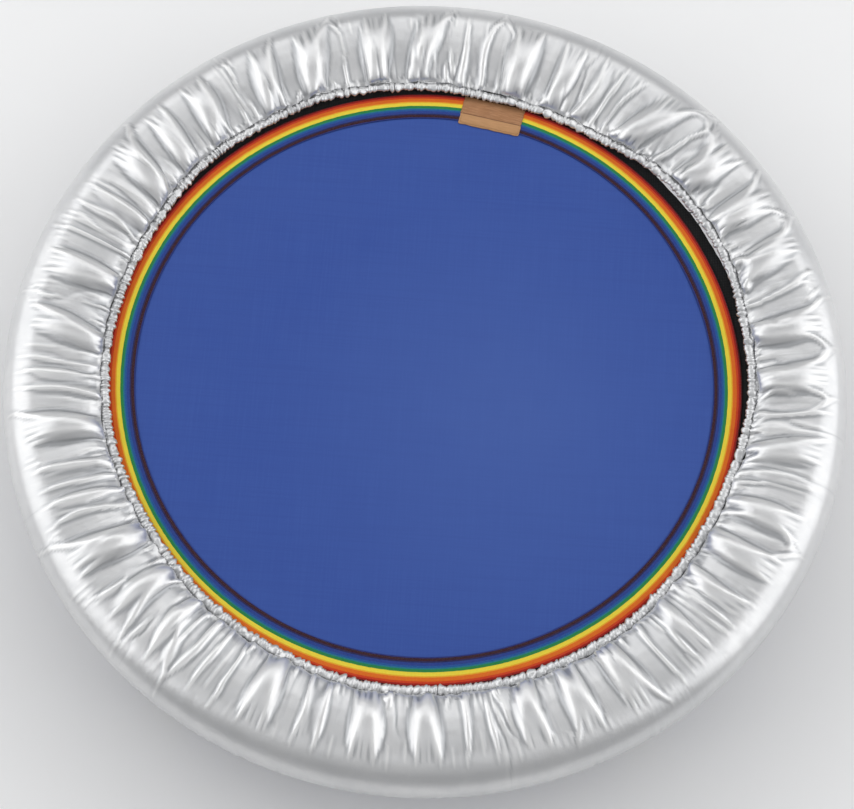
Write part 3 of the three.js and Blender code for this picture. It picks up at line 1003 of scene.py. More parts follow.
def webbing():
    n = 360
    rng = np.random.default_rng(6)
    th = TAU * np.arange(n) / n
    # a ribbed top, a plain underside, rounded selvedges
    R = np.linspace(WEB_IN + 0.0003, WEB_OUT - 0.0003, 71)
    ridge = 0.00010 * np.cos((R - WEB_IN) * TAU / 0.0010) - 0.00010
    groove = sum(-0.00022 * np.exp(-(((R - q) / 0.0007) ** 2)) for q in (0.3578, 0.3893))
    prof = [[r, WEB_TOP + d] for r, d in zip(R, ridge + groove)]
    prof += [[WEB_OUT, WEB_TOP - 0.0004], [WEB_OUT, WEB_UNDER + 0.0003], [WEB_OUT - 0.0004, WEB_UNDER]]
    prof += [[WEB_IN + 0.0004, WEB_UNDER], [WEB_IN, WEB_UNDER + 0.0003], [WEB_IN, WEB_TOP - 0.0004]]
    prof = np.array(prof)
    radial = 0.00025 * noise1(rng, n, 2, 16)
    lift = 0.00007 * noise1(rng, n, 20, 120)
    g = Geo()
    V = np.stack([(prof[:, :1] + radial) * np.cos(th), (prof[:, :1] + radial) * np.sin(th), prof[:, 1:] + lift * 1.0], -1)
    g.add(V, grid_faces(len(prof), n, True, True))
    place(g.object("webbing", M_WEB, sharp=60), "mat", "webbing_stripes", "rainbow_webbing")
    s = Geo()
    stitches(s, circle(0.3578, WEB_TOP, wob=0.00015, seed=8), 0.0028, 0.0040, 0.00026, 0.00008, 0.0004, 4)
    stitches(s, circle(0.3893, WEB_TOP, wob=0.00015, seed=9), 0.0028, 0.0040, 0.00026, 0.00008, 0.0004, 4)
    place(s.object("webbing_stitches", M_THREAD_DARK), "mat", "webbing_stripes")


def strap():
    """The black strap sewn under the mat's edge: folded over, and swelling into a loop round each wire ring."""
    n = 1080
    rng = np.random.default_rng(7)
    th = TAU * np.arange(n) / n
    near = (0.5 + 0.5 * np.cos((th - SPRING_AZ[0]) * SPRINGS)) ** 1.5      # 1 at a loop
    half = 0.0019 + 0.0008 * near
    out = 0.4052 + 0.0008 * near + 0.00016 * noise1(rng, n, 30, 160)
    wav = 0.00010 * noise1(rng, n, 20, 200)
    mid = 0.18165
    cR = out - half
    line = [(0.3802 + 0 * th, 0.1829 + 0 * th), (0.3860 + 0 * th, 0.1829 + 0 * th), (0.3907 + 0 * th, 0.1829 + 0 * th)]
    line += [(0.3922 + 0 * th, 0.1832 + 0.4 * (half - 0.0019) + wav), (0.3945 + 0 * th, mid + half + wav)]
    for q in (0.25, 0.5, 0.75):
        line.append((0.3945 + (cR - 0.3945) * q, mid + half + 0.00012 * math.sin(q * math.pi) + wav))
    for d in np.radians(np.linspace(90, -90, 11)):
        line.append((cR + half * math.cos(d), mid + half * math.sin(d) + wav))
    for q in (0.75, 0.5, 0.25, 0.0):
        line.append((0.3945 + (cR - 0.3945) * q, mid - half - 0.00010 * math.sin(q * math.pi) - wav))
    line += [(0.3915 + 0 * th, 0.1800 + 0 * th), (0.3860 + 0 * th, 0.1799 + 0 * th), (0.3802 + 0 * th, 0.1800 + 0 * th)]
    line += [(0.3800 + 0 * th, 0.1804 + 0 * th), (0.3800 + 0 * th, 0.1825 + 0 * th)]
    rows = np.array([np.stack([r * np.cos(th), r * np.sin(th), z], 1) for r, z in line])
    g = Geo()
    g.add(rows, grid_faces(len(rows), n, True, True))
    place(g.object("loop_strap", M_STRAP, sharp=60), "mat", "strap_black", "loop_strap_with_rings")
    # bar tacks and two rows of thread under the strap
    s = Geo()
    stitches(s, circle(0.3835, 0.17985, wob=0.0002, seed=4), 0.0034, 0.0048, 0.0003, 0.0, -0.0004, 4)
    stitches(s, circle(0.3890, 0.17985, wob=0.0002, seed=5), 0.0034, 0.0048, 0.0003, 0.0, -0.0004, 4)
    for az in SPRING_AZ:
        for side in (-1, 1):
            t0 = side * 0.0150
            zig = [[0.3960 + 0.00032 * j, t0 + 0.0010 * (-1) ** j, 0.17965] for j in range(17)]
            V, F = sweep(at(az, zig), 0.00028, 5, up=(0, 0, 1))
            s.add(V, F)
    place(s.object("strap_stitches", M_THREAD_GREY), "mat", "strap_black")
    # wire rings
    g = Geo()
    for az in SPRING_AZ:
        c = [[0.40325, -0.0094], [0.40325, 0.0094], [0.4043, 0.0103], [0.40560, 0.0097], [0.4137, 0.0055], [0.41470, 0.0040], [0.41475, 0.0], [0.41470, -0.0040], [0.4137, -0.0055], [0.40560, -0.0097], [0.4043, -0.0103]]
        p = smooth_path([[r, t, 0.18165] for r, t in c], 5, closed=True)
        V, F = sweep(at(az, p), 0.00118, 9, closed=True, up=(0, 0, 1))
        g.add(V, F)
    place(g.object("wire_rings", M_SPRING), "mat", "spring_steel")


PATCH_AZ = math.radians(80.1)
PATCH_R, PATCH_L, PATCH_W = 0.369, 0.080, 0.040


def patch():
    """Leather patch over the webbing's joint: rounded corners, a pressed seam, stitched all round."""
    nu, nv = 91, 47
    u, v = np.linspace(-1, 1, nu), np.linspace(-1, 1, nv)
    U, W = np.meshgrid(u, v)
    rng = np.random.default_rng(12)
    hx, hy, rc = PATCH_L / 2, PATCH_W / 2, 0.0022
    x, y = U * hx, W * hy
    # corners: points past the corner's centre are drawn onto its round
    qx, qy = np.maximum(np.abs(x) - (hx - rc), 0), np.maximum(np.abs(y) - (hy - rc), 0)
    big = np.maximum(qx, qy)
    far = np.hypot(qx, qy) + 1e-12
    k = np.where((qx > 0) & (qy > 0), big / far, 1.0)
    x = np.sign(x) * (np.abs(x) - qx + qx * k)
    y = np.sign(y) * (np.abs(y) - qy + qy * k)
    x = x + 0.0003 * noise1(rng, nv, 1, 6)[:, None] * np.abs(U) ** 6
    y = y + 0.0002 * noise1(rng, nu, 1, 9)[None, :] * np.abs(W) ** 6
    edge = np.minimum((1 - np.abs(U)) * hx, (1 - np.abs(W)) * hy)
    drop = 0.0004 * (1 - np.sqrt(np.clip(1 - np.clip(1 - edge / 0.0008, 0, 1) ** 2, 0, 1)))
    groove = -0.00030 * np.exp(-(((edge - 0.0020) / 0.0004) ** 2))
    seam = -0.00050 * np.exp(-(((y + 0.0050) / 0.0005) ** 2)) + 0.00016 * np.exp(-(((y + 0.0038) / 0.0007) ** 2))
    bow = 0.00010 * noise1(rng, nu, 1, 5)[None, :]
    # past the webbing's inner edge it sags towards the mat
    sag = -0.0011 * np.clip((0.3562 - (PATCH_R + y)) / 0.006, 0, 1) ** 1.3
    zt = 0.18768 - drop + groove + seam + bow + sag
    zb = 0.18662 + sag
    A = np.stack([PATCH_R + y, x, zt], -1).reshape(-1, 3)
    Bm = np.stack([PATCH_R + y, x, zb], -1).reshape(-1, 3)
    g = Geo()
    F = grid_faces(nv, nu)
    g.add(at(PATCH_AZ, np.concatenate([A, Bm])), np.concatenate([F, F[:, ::-1] + nu * nv]))
    idx = np.arange(nu * nv).reshape(nv, nu)
    loop = np.concatenate([idx[0, :-1], idx[:-1, -1], idx[-1, :0:-1], idx[:0:-1, 0]])
    nxt = np.roll(loop, -1)
    g.f += [[int(a), int(b), int(b + nu * nv), int(a + nu * nv)] for a, b in zip(loop, nxt)]
    g.m += [0] * len(loop)
    place(g.object("stitched_patch", M_PATCH, sharp=70), "mat", "label_tan", "label_patch")
    s = Geo()

    def run(x0, y0, x1, y1):
        n = 60
        return at(PATCH_AZ, np.stack([PATCH_R + np.linspace(y0, y1, n), np.linspace(x0, x1, n), np.full(n, 0.18752)], 1))

    X, Y = hx - 0.0020, hy - 0.0020
    for p in (run(-X, -Y, X, -Y), run(X, -Y, X, Y), run(X, Y, -X, Y), run(-X, Y, -X, -Y)):
        stitches(s, p, 0.0024, 0.0033, 0.00024, 0.0, 0.0004, 5)
    place(s.object("patch_stitches", M_THREAD_TAN), "mat", "label_tan")


webbing()
strap()
patch()
jump_mat()


# ------------------------------------------------------------------ padded cover: the cloth is gathered by simulation
# A band of cloth, longer at its hem than the elastic there, is let settle over the foam. Points are
# held apart by the cloth's own lengths; the hem's stitched row is pinned in tucks, the lower one is pulled tight.
RIM_C = (0.478, 0.176)
SHIFT = (0.0021, 0.0032)      # the padding sits this much off the mat's middle
HEM_K = [1.0606, 1.0612, 1.0747, 1.0772, 1.076, 1.0573, 1.0473, 1.0446, 1.0459, 1.0549, 1.058, 1.0613, 1.0554, 1.0565, 1.0507, 1.039, 1.0356, 1.0347, 1.0337, 1.0293, 1.0232, 1.0129, 1.016, 1.0203, 1.0247, 1.0306, 1.0422, 1.0394, 1.0436, 1.0414, 1.0421, 1.0385, 1.0307, 1.0276, 1.0346, 1.0509]

def wing_z(R):
    xs = np.array([0.380, 0.395, 0.402, 0.410, 0.420, 0.435, 0.450, 0.465, 0.478, 0.60], np.float32)
    zs = np.array([0.1915, 0.1930, 0.1975, 0.2035, 0.2075, 0.2118, 0.2145, 0.2163, 0.2170, 0.2170], np.float32)
    return np.interp(R, xs, zs)

def hem_radius(th):
    """Radius of the hem's stitched row about the mat's middle: the elastic doesn't sit quite evenly."""
    th = th - math.radians(3.6)
    k = np.array(HEM_K); n = len(k)
    f = np.fft.rfft(k)
    out = np.full_like(th, f[0].real / n)
    for m in range(1, n // 2):
        out = out + 2 / n * (f[m].real * np.cos(m * th) - f[m].imag * np.sin(m * th))
    # the hem lies a little nearer the front than the mat
    return 0.3765 * out + 0.0072 - 0.0027 * np.sin(th + math.radians(3.6))

def profile(n):
    R = np.linspace(0.4005, 0.478, 60)
    top = np.stack([R, wing_z(R) + 0.0006], 1)
    a = np.radians(np.linspace(90, -52, 90))[1:]
    arc = np.stack([RIM_C[0] + 0.0413 * np.cos(a), RIM_C[1] + 0.0413 * np.sin(a)], 1)
    low = np.array([[0.5012, 0.1405]])
    p = np.concatenate([top, arc, low])
    s = np.concatenate([[0], np.cumsum(np.linalg.norm(np.diff(p, axis=0), axis=1))])
    at = np.linspace(0, s[-1], n)
    return np.stack([np.interp(at, s, p[:, k]) for k in (0, 1)], 1), s[-1]

def edge(a, b, L, ks, kc):
    d = b - a
    l = np.sqrt(np.einsum('...k,...k->...', d, d)) + 1e-9
    c = (l - L) / l
    c *= np.where(c > 0, np.float32(0.5 * ks), np.float32(0.5 * kc))
    d *= c[..., None]
    a += d
    b -= d

class Sim:
    def __init__(self, P, Lu, V, vs=None):
        self.P = P.astype(np.float32); self.M, self.N = P.shape[:2]
        self.Lu = Lu.astype(np.float32)                     # (M, N) rest length from column i to i+1
        self.Lb = (self.Lu + np.roll(self.Lu, -1, 1)).astype(np.float32)
        self.dv = (np.float32(V / (self.M - 1)) * (np.ones(self.N) if vs is None else vs)[None, :]).astype(np.float32)
        self.Ls = np.hypot(self.Lu, self.dv).astype(np.float32)
        self.old = self.P.copy()
    def stretch(self, ks=1.0, kc=0.9):
        P, Lu, dv = self.P, self.Lu, self.dv
        edge(P[:, 0::2], P[:, 1::2], Lu[:, 0::2], ks, kc)
        edge(P[:, 1:-1:2], P[:, 2::2], Lu[:, 1:-1:2], ks, kc)
        edge(P[:, -1], P[:, 0], Lu[:, -1], ks, kc)
        edge(P[0::2], P[1::2], dv, ks, kc)
        edge(P[1:-1:2], P[2::2], dv, ks, kc)
    def shear(self, k=0.15):
        P, Ls = self.P, self.Ls
        for j in (0, 1):
            A, B, L = P[j:-1:2], P[j + 1::2], Ls[j:-1:2]
            edge(A[:, :-1], B[:, 1:], L[:, :-1], k, k); edge(A[:, -1], B[:, 0], L[:, -1], k, k)
        for j in (0, 1):
            A, B, L = P[j:-1:2], P[j + 1::2], Ls[j:-1:2]
            edge(A[:, 1:], B[:, :-1], L[:, :-1], k, k); edge(A[:, 0], B[:, -1], L[:, -1], k, k)
    def bend(self, ku=0.1, kv=0.1):
        P, M, N = self.P, self.M, self.N
        Q = P.reshape(M, N // 4, 4, 3); L = self.Lb.reshape(M, N // 4, 4)
        edge(Q[:, :, 0:2], Q[:, :, 2:4], L[:, :, 0:2], 0.0, ku)
        edge(Q[:, :-1, 2:4], Q[:, 1:, 0:2], L[:, :-1, 2:4], 0.0, ku)
        edge(Q[:, -1, 2:4], Q[:, 0, 0:2], L[:, -1, 2:4], 0.0, ku)
        m4 = M // 4 * 4
        Q = P[:m4].reshape(m4 // 4, 4, N, 3); L = 2 * self.dv
        edge(Q[:, 0:2], Q[:, 2:4], L, 0.0, kv)
        edge(Q[:-1, 2:4], Q[1:, 0:2], L, 0.0, kv)
    def bend_wide(self, s, ku):
        P, M, N = self.P, self.M, self.N
        if not hasattr(self, '_w'): self._w = {}
        if s not in self._w:
            c = np.concatenate([self.Lu, self.Lu[:, :s]], 1).cumsum(1)
            c = np.concatenate([np.zeros((M, 1)), c], 1)
            self._w[s] = (c[:, s:s + N] - c[:, :N]).astype(np.float32)
        Q = P.reshape(M, N // (2 * s), 2 * s, 3); L = self._w[s].reshape(M, N // (2 * s), 2 * s)
        edge(Q[:, :, :s], Q[:, :, s:], L[:, :, :s], 0.0, ku)
        edge(Q[:, :-1, s:], Q[:, 1:, :s], L[:, :-1, s:], 0.0, ku)
        edge(Q[:, -1, s:], Q[:, 0, :s], L[:, -1, s:], 0.0, ku)
    def contact(self, soft=0.35):
        P = self.P
        x, y, z = P[..., 0], P[..., 1], P[..., 2]
        R = np.sqrt(x * x + y * y)
        pen = (wing_z(R).astype(np.float32) - z)
        on_wing = (R < RIM_C[0]) & (pen > 0) & (z > 0.176)
        z += np.where(on_wing, pen * soft, 0)
        dr, dz = R - RIM_C[0], z - RIM_C[1]
        d = np.sqrt(dr * dr + dz * dz) + 1e-9
        pen = 0.0410 - d
        m = (R >= RIM_C[0]) & (pen > 0)
        k = np.where(m, pen * soft / d, 0)
        z += dz * k
        f = 1 + dr * k / R
        x *= f; y *= f
    def order(self, least=0.12):
        P = self.P
        for a, b, L in ((P[:, 0::2], P[:, 1::2], self.Lu[:, 0::2]), (P[:, 1:-1:2], P[:, 2::2], self.Lu[:, 1:-1:2])):
            L = L * np.float32(least)
            m = (a[..., :2] + b[..., :2])
            r = np.sqrt((m * m).sum(-1)) + 1e-9
            tx, ty = -m[..., 1] / r, m[..., 0] / r
            g = (b[..., 0] - a[..., 0]) * tx + (b[..., 1] - a[..., 1]) * ty
            c = np.where(g < L, (L - g) * 0.5, 0)
            a[..., 0] -= c * tx; a[..., 1] -= c * ty
            b[..., 0] += c * tx; b[..., 1] += c * ty
    def run(self, steps, iters, pins, gravity=0.0, damp=0.9, ku=0.1, kv=0.1, shear=0.15, soft=0.35, wide=()):
        for s in range(steps):
            P = self.P
            v = (P - self.old) * np.float32(damp)
            np.clip(v, -0.0006, 0.0006, out=v)
            self.old = P.copy()
            P += v
            P[..., 2] -= np.float32(gravity)
            for _ in range(iters):
                self.bend(ku, kv)
                for w, k in wide: self.bend_wide(w, k)
                self.shear(shear)
                self.stretch()
                self.contact(soft)
                self.order()
                pins(self)

def upsample(P, M2, N2):
    M, N = P.shape[:2]
    u = np.arange(N2) * N / N2
    i0 = np.floor(u).astype(int); t = (u - i0)[None, :, None].astype(np.float32)
    def at(k): return P[:, (i0 + k) % N]
    a, b, c, d = at(-1), at(0), at(1), at(2)
    Q = 0.5 * ((2 * b) + (-a + c) * t + (2 * a - 5 * b + 4 * c - d) * t ** 2 + (-a + 3 * b - 3 * c + d) * t ** 3)
    v = np.linspace(0, M - 1, M2); j0 = np.minimum(np.floor(v).astype(int), M - 2); t = (v - j0)[:, None, None].astype(np.float32)
    g = lambda k: Q[np.clip(j0 + k, 0, M - 1)]
    a, b, c, d = g(-1), g(0), g(1), g(2)
    return 0.5 * ((2 * b) + (-a + c) * t + (2 * a - 5 * b + 4 * c - d) * t ** 2 + (-a + 3 * b - 3 * c + d) * t ** 3)

FINE = 4800
TUCKS = 84
def hem_noise(seed):
    rng = np.random.default_rng(seed)
    rate = np.exp(0.45 * noise1(rng, FINE, 6, 50) + 0.35 * noise1(rng, FINE, 50, 140))
    tucks = TUCKS
    phase = np.cumsum(rate); phase = phase / phase[-1] * 2 * np.pi * tucks
    amp = np.exp(0.42 * np.clip(noise1(rng, FINE, 5, 90), -2.2, 2.2))
    slack = np.clip(1 + 0.40 * noise1(rng, FINE, 8, 44) + 0.15 * noise1(rng, FINE, 44, 110), 0.15, 2.2)
    slack /= slack.mean()
    lowr = 0.0006 * noise1(rng, FINE, 9, 40)
    lowz = 0.0006 * noise1(rng, FINE, 3, 14) + 0.0005 * noise1(rng, FINE, 14, 50)
    return phase, np.clip(amp, 0.3, 2.1), slack, lowr, lowz

def make_cover(N, M, steps, seed=7, params=None):
    p = dict(ten=0.985, ku=0.06, kv=0.25, shear=0.15, soft=0.30, wide0=((4, 0.05), (6, 0.05)), wide1=((8, 0.05), (12, 0.05)), a0=0.0022, slR=(0.4005, 0.408, 0.42, 0.44, 0.46, 0.48, 0.497), slV=(0.24, 0.13, 0.095, 0.065, 0.038, 0.016, 0.003))
    p.update(params or {})
    phase, amp, slack, lowr, lowz = hem_noise(seed)
    def hem(n):
        i = (np.arange(n) * FINE / n).astype(int)
        th = 2 * np.pi * np.arange(n) / n
        a0 = p['a0']
        z = a0 * amp[i] * np.sin(phase[i]) + lowz[i]
        r0 = hem_radius(th)
        r = r0 + lowr[i] + 0.35 * a0 * amp[i] * np.cos(phase[i] + 0.6)
        zb = np.maximum(0.1965, wing_z(r0) + 0.0012)
        return np.stack([r * np.cos(th) - SHIFT[0], r * np.sin(th) - SHIFT[1], zb + z], 1).astype(np.float32)
    def lengths(n, m):
        prof, V = profile(m)
        C = 2 * np.pi * prof[:, 0]
        s = np.linspace(0, 1, m) * V
        R = prof[:, 0]
        sl = np.interp(R, p['slR'], p['slV'])
        sl[np.arange(m) > np.argmax(prof[:, 0])] = 0.003
        i = (np.arange(n) * FINE / n).astype(int)
        Lu = C[:, None] / n * (1 + sl[:, None] * slack[i][None, :])
        return Lu, V
    def start(n, m):
        prof, V = profile(m)
        th = 2 * np.pi * np.arange(n) / n
        P = np.zeros((m, n, 3), np.float32)
        H = hem(n)
        s = np.linspace(0, V, m)
        P[..., 0] = prof[:, 0:1] * np.cos(th); P[..., 1] = prof[:, 0:1] * np.sin(th); P[..., 2] = prof[:, 1:2]
        fade = np.clip(1 - s / 0.075, 0, 1)[:, None] ** 1.5
        dH = H - P[0]
        P += dH[None] * fade[..., None]
        rng = np.random.default_rng(seed + 1)
        w = noise1(rng, n, 20, 140) * 0.0009
        P[..., 2] += np.exp(-(s / 0.06) ** 2)[:, None] * np.abs(w)
        return P, V
    def vscale(n):
        th = 2 * np.pi * np.arange(n) / n
        V = profile(56)[1]
        r = hem_radius(th) - SHIFT[0] * np.cos(th) - SHIFT[1] * np.sin(th)
        return (V - 1.03 * (r - 0.4005)) / V
    def pins(H, B):
        def f(sim):
            sim.P[0] = H
            sim.P[-1] = B
        return f
    n, m = N // 2, M // 2
    P, V = start(n, m)
    Lu, _ = lengths(n, m)
    S = Sim(P, Lu, V * p['ten'], vscale(n))
    B = P[-1].copy()
    S.run(steps[0], 6, pins(hem(n), B), gravity=2e-6, damp=0.93, ku=p['ku'], kv=p['kv'], shear=p['shear'], soft=p['soft'], wide=p['wide0'])
    P = upsample(S.P, M, N)
    Lu, _ = lengths(N, M)
    S2 = Sim(P, Lu, V * p['ten'], vscale(N))
    S2.run(steps[1], 5, pins(hem(N), P[-1].astype(np.float32).copy()), gravity=2e-6, damp=0.85, ku=p['ku'], kv=p['kv'], shear=p['shear'], soft=p['soft'], wide=p['wide1'])
    return S2.P



COVER_N, COVER_M = 1200, 56
COVER_SLACK = dict(
    wide0=((6, 0.03),),
    wide1=((12, 0.03),),
    shear=0.12,
    ten=0.988,
    a0=0.0026,
    slV=(0.24, 0.130, 0.100, 0.073, 0.047, 0.024, 0.007),
)


def skirt_free(z):
    """How far a point at height z takes part in the rim's sideways set: none at the lower hem, all from the rim's middle up."""
    t = np.clip((z - 0.146) / 0.028, 0, 1)
    return t * t * (3 - 2 * t)


def cover():
    N, M = COVER_N, COVER_M
    steps = ((260, 90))
    off = np.array([SHIFT[0], SHIFT[1], 0.0])
    P = np.asarray(make_cover(N, M, steps, params=COVER_SLACK), float) + off
    # low down the cover is held to the ring, so it sits on the ring's middle there and clears the leg bolts
    P = P - (1 - skirt_free(P[..., 2]))[..., None] * off
    rng = np.random.default_rng(21)
    th = TAU * np.arange(N) / N
    rad = np.stack([np.cos(th), np.sin(th), 0 * th], 1)
    up = np.array([0, 0, 1.0])
    # small pressed creases that start at the hem, wander and die out
    dist = profile(56)[1] * np.arange(M) / (M - 1)
    du = np.roll(P, -1, 1) - np.roll(P, 1, 1)
    dv = np.gradient(P, axis=0)
    nrm = np.cross(du, dv)
    nrm /= np.linalg.norm(nrm, axis=-1, keepdims=True) + 1e-12
    if nrm[10, :, 2].mean() < 0:
        nrm = -nrm
    for lo, hi, deep, wide, far0, far1 in ((26, 92, 0.0017, 0.40, 0.032, 0.080), (70, 210, 0.0008, 0.55, 0.014, 0.036)):
        keys = [noise1(rng, N, lo, hi)]
        for _ in range(5):
            keys.append(0.80 * keys[-1] + 0.60 * noise1(rng, N, lo, hi))
        keys = np.array(keys) / np.std(keys, axis=1, keepdims=True)
        f = np.clip(dist / 0.022, 0, 4.999)
        k = f.astype(int)
        f = (f - k)[:, None]
        n = keys[k] * (1 - f) + keys[k + 1] * f
        some = np.clip(0.35 + 0.8 * noise1(rng, N, 12, 60), 0, 1.7)
        far = far0 + (far1 - far0) * np.clip(0.5 + 0.35 * noise1(rng, N, 10, 70), 0, 1)
        reach = np.exp(-((dist[:, None] / far[None, :]) ** 2)) * np.clip(dist / 0.004, 0, 1)[:, None]
        P = P + nrm * (deep * some[None, :] * reach * (1 - np.exp(-((n / wide) ** 2))))[..., None]
    r_s = np.hypot(P[0, :, 0], P[0, :, 1])
    z_s = P[0, :, 2]
    # the stitched row bites into the cloth
    P[0, :, 2] -= 0.0006
    # ---- casing of the inner hem: the cloth rolled round its elastic and sewn down, crinkled all along
    K = 2880
    tk = TAU * np.arange(K) / K
    ck, sk = np.cos(tk), np.sin(tk)
    radk = np.stack([ck, sk, 0 * tk], 1)
    tang = np.stack([-sk, ck, 0 * tk], 1)

    def tucks(count, wild, lo, hi):
        rate = np.exp(wild * noise1(rng, K, 8, lo) + wild * 0.8 * noise1(rng, K, lo, hi))
        ph = np.cumsum(rate)
        return ph / ph[-1] * TAU * count

    p1, p2 = tucks(232, 0.36, 60, 200), tucks(500, 0.30, 90, 360)
    a1 = np.exp(0.40 * np.clip(noise1(rng, K, 8, 120), -2, 2))
    a2 = np.exp(0.45 * np.clip(noise1(rng, K, 12, 260), -2, 2))
    hr = hem_radius(tk)
    base_r = hr - 0.0053
    zb = np.maximum(0.1965, wing_z(hr) + 0.0012)
    ruffle = np.interp(tk, np.append(th, TAU), np.append(z_s, z_s[0])) - zb
    base_z = zb - 0.0030 + 0.5 * ruffle
    rows = []
    # from under the stitching, round below and inside, and over the top to the stitched row
    for a in np.radians(np.linspace(322, 36, 16)):
        s1, s2 = 0.5 * math.sin(2 * a + 0.6), 0.8 * math.sin(a + 0.3)
        d = 0.00100 * a1 * np.cos(p1 + s1) + 0.00062 * a2 * np.cos(p2 + s2)
        t = 0.00060 * a1 * np.sin(p1 + s1 + 0.9) + 0.00030 * a2 * np.sin(p2 + s2 + 0.9)
        rr, rz = 0.0050 + d, 0.0037 + 0.8 * d
        rows.append((base_r + rr * math.cos(a))[:, None] * radk + (base_z + rz * math.sin(a))[:, None] * up + t[:, None] * tang)
    # the last row is sewn under the stitched row
    seat = hr + 0.0006
    rows.append(seat[:, None] * radk + (zb + ruffle - 0.0014)[:, None] * up)
    g = Geo()
    g.add(np.array(rows), grid_faces(len(rows), K, False, True))
    casing = g.object("hem_casing", M_SILVER, fix=False)
    if casing.data.polygons[10 * K].normal.z < 0:
        casing.data.flip_normals()
    place(casing, "frame", "cover_silver")
    # ---- lower hem, rolled round its elastic
    ph2 = np.cumsum(np.exp(0.35 * noise1(rng, N, 10, 120)))
    ph2 = ph2 / ph2[-1] * TAU * 190
    amp2 = np.exp(0.35 * np.clip(noise1(rng, N, 8, 100), -2, 2))
    V = profile(56)[1]
    s_to_end = V * (1 - np.arange(M) / (M - 1))
    reach = 0.012 + 0.010 * np.clip(0.5 + 0.5 * noise1(rng, N, 20, 110), 0, 1.4)
    fade = np.exp(-((s_to_end[:, None] / reach[None, :]) ** 1.3))
    dr = 0.00115 * amp2 * np.cos(ph2)
    P[:, :, 0] += fade * dr * np.cos(th)
    P[:, :, 1] += fade * dr * np.sin(th)
    low = []
    cr, cz = 0.5043, 0.1396
    for a in np.radians(np.linspace(178, 400, 10)):
        d = 0.00065 * amp2 * np.cos(ph2 + 0.4 * math.sin(a))
        p = (cr + (0.0031 + d) * math.cos(a))[:, None] * rad + (cz + (0.0031 + d) * math.sin(a))[:, None] * up
        low.append(p)
    rows = np.concatenate([P, np.array(low)])
    m = len(rows)
    g = Geo()
    g.add(rows, grid_faces(m, N, False, True))
    ob = g.object("silver_cover", M_SILVER, fix=False)
    # outward normals: up on the wing
    me = ob.data
    # how deep each point lies in a fold, for the painted shade that darkens the cover's colour in the valleys and the
    # painted highlight that lightens it on the ridges
    du = np.roll(rows, -1, 1) - np.roll(rows, 1, 1)
    nrm = np.cross(du, np.gradient(rows, axis=0))
    nrm /= np.linalg.norm(nrm, axis=-1, keepdims=True) + 1e-12
    if nrm[20, :, 2].mean() < 0:
        nrm = -nrm
    lap = sum(0.5 * (np.roll(rows, k, 1) + np.roll(rows, -k, 1)) - rows for k in (1, 2)) * 0.5
    painted_fold_shading = np.clip((lap * nrm).sum(-1) / 0.0007, -1, 1)
    painted_fold_shading[-10:] = 0
    painted_fold_shading[:2] = 0
    at_ = me.attributes.new("painted_fold_shading", "FLOAT", "POINT")
    at_.data.foreach_set("value", painted_fold_shading.reshape(-1).astype(np.float32))
    mid = 20 * N
    if me.polygons[mid].normal.z < 0:
        me.flip_normals()
    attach(ob, "frame")
    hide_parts("edge_cover")
    # ---- thread along both hems
    s = Geo()
    row = P[0] + np.array([0, 0, 0.00045])
    stitches(s, np.concatenate([row, row[:1]]), 0.0026, 0.0038, 0.00028, 0.0, 0.0004, 4)
    line = np.array(low[0])
    line = line + rad * -0.0003
    stitches(s, np.concatenate([line, line[:1]]), 0.0030, 0.0044, 0.00028, 0.0, 0.0003, 4)
    seams = s.object("cover_stitches", M_THREAD_GREY)
    place(seams, "frame", "cover_silver")
    # ---- elastics inside the hems
    e = Geo()
    p = base_r[::8, None] * radk[::8] + base_z[::8, None] * up
    V_, F_ = sweep(p, 0.0014, 6, closed=True)
    e.add(V_, F_)
    place(e.object("inner_elastic", M_ELASTIC), "frame", "elastic_white", "inner_hem_elastic")
    e = Geo()
    V_, F_ = sweep(circle(cr, cz, 240)[:-1], 0.0013, 6, closed=True)
    e.add(V_, F_)
    place(e.object("outer_elastic", M_ELASTIC), "frame", "elastic_white", "outer_hem_elastic")
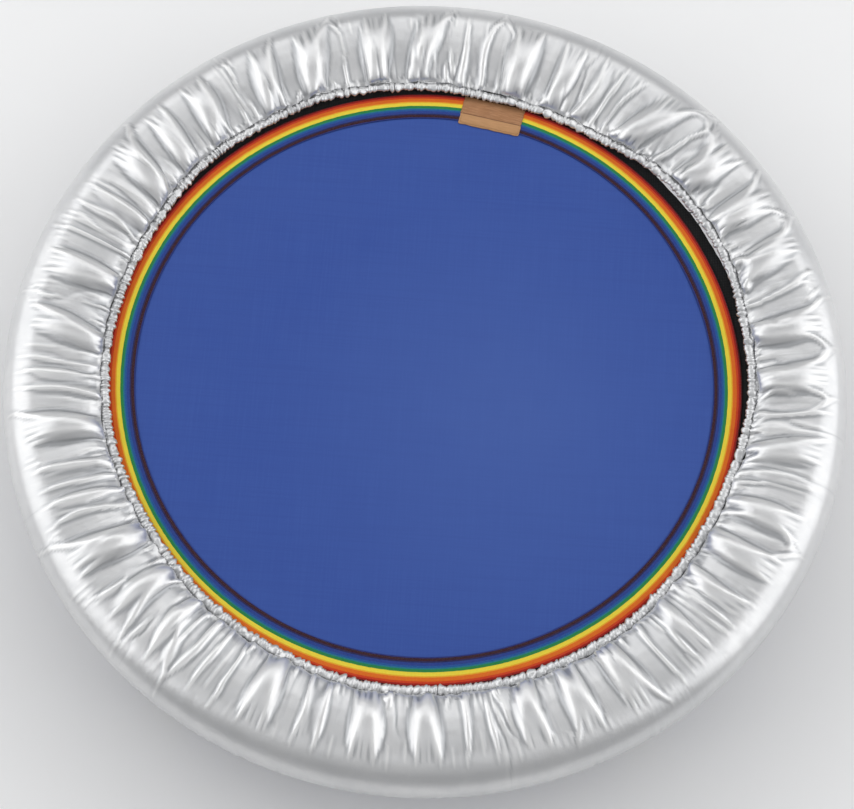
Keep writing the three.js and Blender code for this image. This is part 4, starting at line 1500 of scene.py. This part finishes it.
    # flat cut: a band as wide as the line from hem to hem with its casings, and as long as the rim at its fullest
    prof, V = profile(200)
    length = TAU * prof[:, 0].max() * 1.004
    width = V + 0.028 + 0.014
    R = prof[:, 0]
    sl = np.interp(R, (0.4005, 0.408, 0.42, 0.44, 0.46, 0.48, 0.497), COVER_SLACK["slV"])
    sl[np.arange(200) > int(np.argmax(R))] = 0.003
    cut_area = float((TAU * R * (1 + sl)).mean() * V + TAU * 0.396 * 1.24 * 0.028 + TAU * 0.504 * 1.03 * 0.014)
    return cut_area, width, length


def foam():
    """The C-shaped foam ring over the tube and springs: moulded, a little uneven."""
    n = 240
    rng = np.random.default_rng(31)
    th = TAU * np.arange(n) / n
    a = np.radians(np.linspace(-50, 90, 24))
    out = [[RIM_R + 0.0400 * math.cos(q), RIM_Z + 0.0400 * math.sin(q)] for q in a]
    wing = smooth_path([[0.478, 0.2160], [0.462, 0.2149], [0.440, 0.2120], [0.424, 0.2078], [0.4125, 0.2043], [0.4095, 0.2010], [0.4092, 0.1970], [0.4110, 0.1958], [0.425, 0.1956], [0.450, 0.1955], [0.4680, 0.1952]], 4)[1:]
    b = np.radians(np.linspace(112, 0, 14))
    hug = [[RING_R + 0.0155 * math.cos(q), RING_Z + 0.0155 * math.sin(q)] for q in b]
    low = smooth_path([hug[-1], [0.4955, 0.1700], [0.4992, 0.1640], [0.5000, 0.1560], [0.5002, 0.1480], [0.5015, 0.1456]], 4)[1:]
    prof = np.array(out + wing.tolist() + hug + low.tolist())
    g = Geo()
    lump = 0.0004 * noise1(rng, n, 3, 24)
    c = np.array([0.470, 0.190])
    d = norm(prof - c)
    p = prof[:, None, :] + d[:, None, :] * (np.minimum(lump, 0.0002)[None, :, None])
    # the outside sits a little off the ring's middle, as the cover does; the side that holds the tube doesn't
    free = np.clip((np.hypot(prof[:, 0] - RING_R, prof[:, 1] - RING_Z) - 0.0165) / 0.012, 0, 1)[:, None] * skirt_free(prof[:, 1])[:, None]
    V = np.stack([p[..., 0] * np.cos(th) + free * SHIFT[0], p[..., 0] * np.sin(th) + free * SHIFT[1], p[..., 1]], -1)
    g.add(V, grid_faces(len(prof), n, True, True))
    ob = g.object("foam_ring", M_FOAM)
    place(ob, "frame", "foam", "foam_pad")


foam()
COVER_CUT = cover()

VISUAL_BOX = [[float(c) for c in v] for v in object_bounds()]
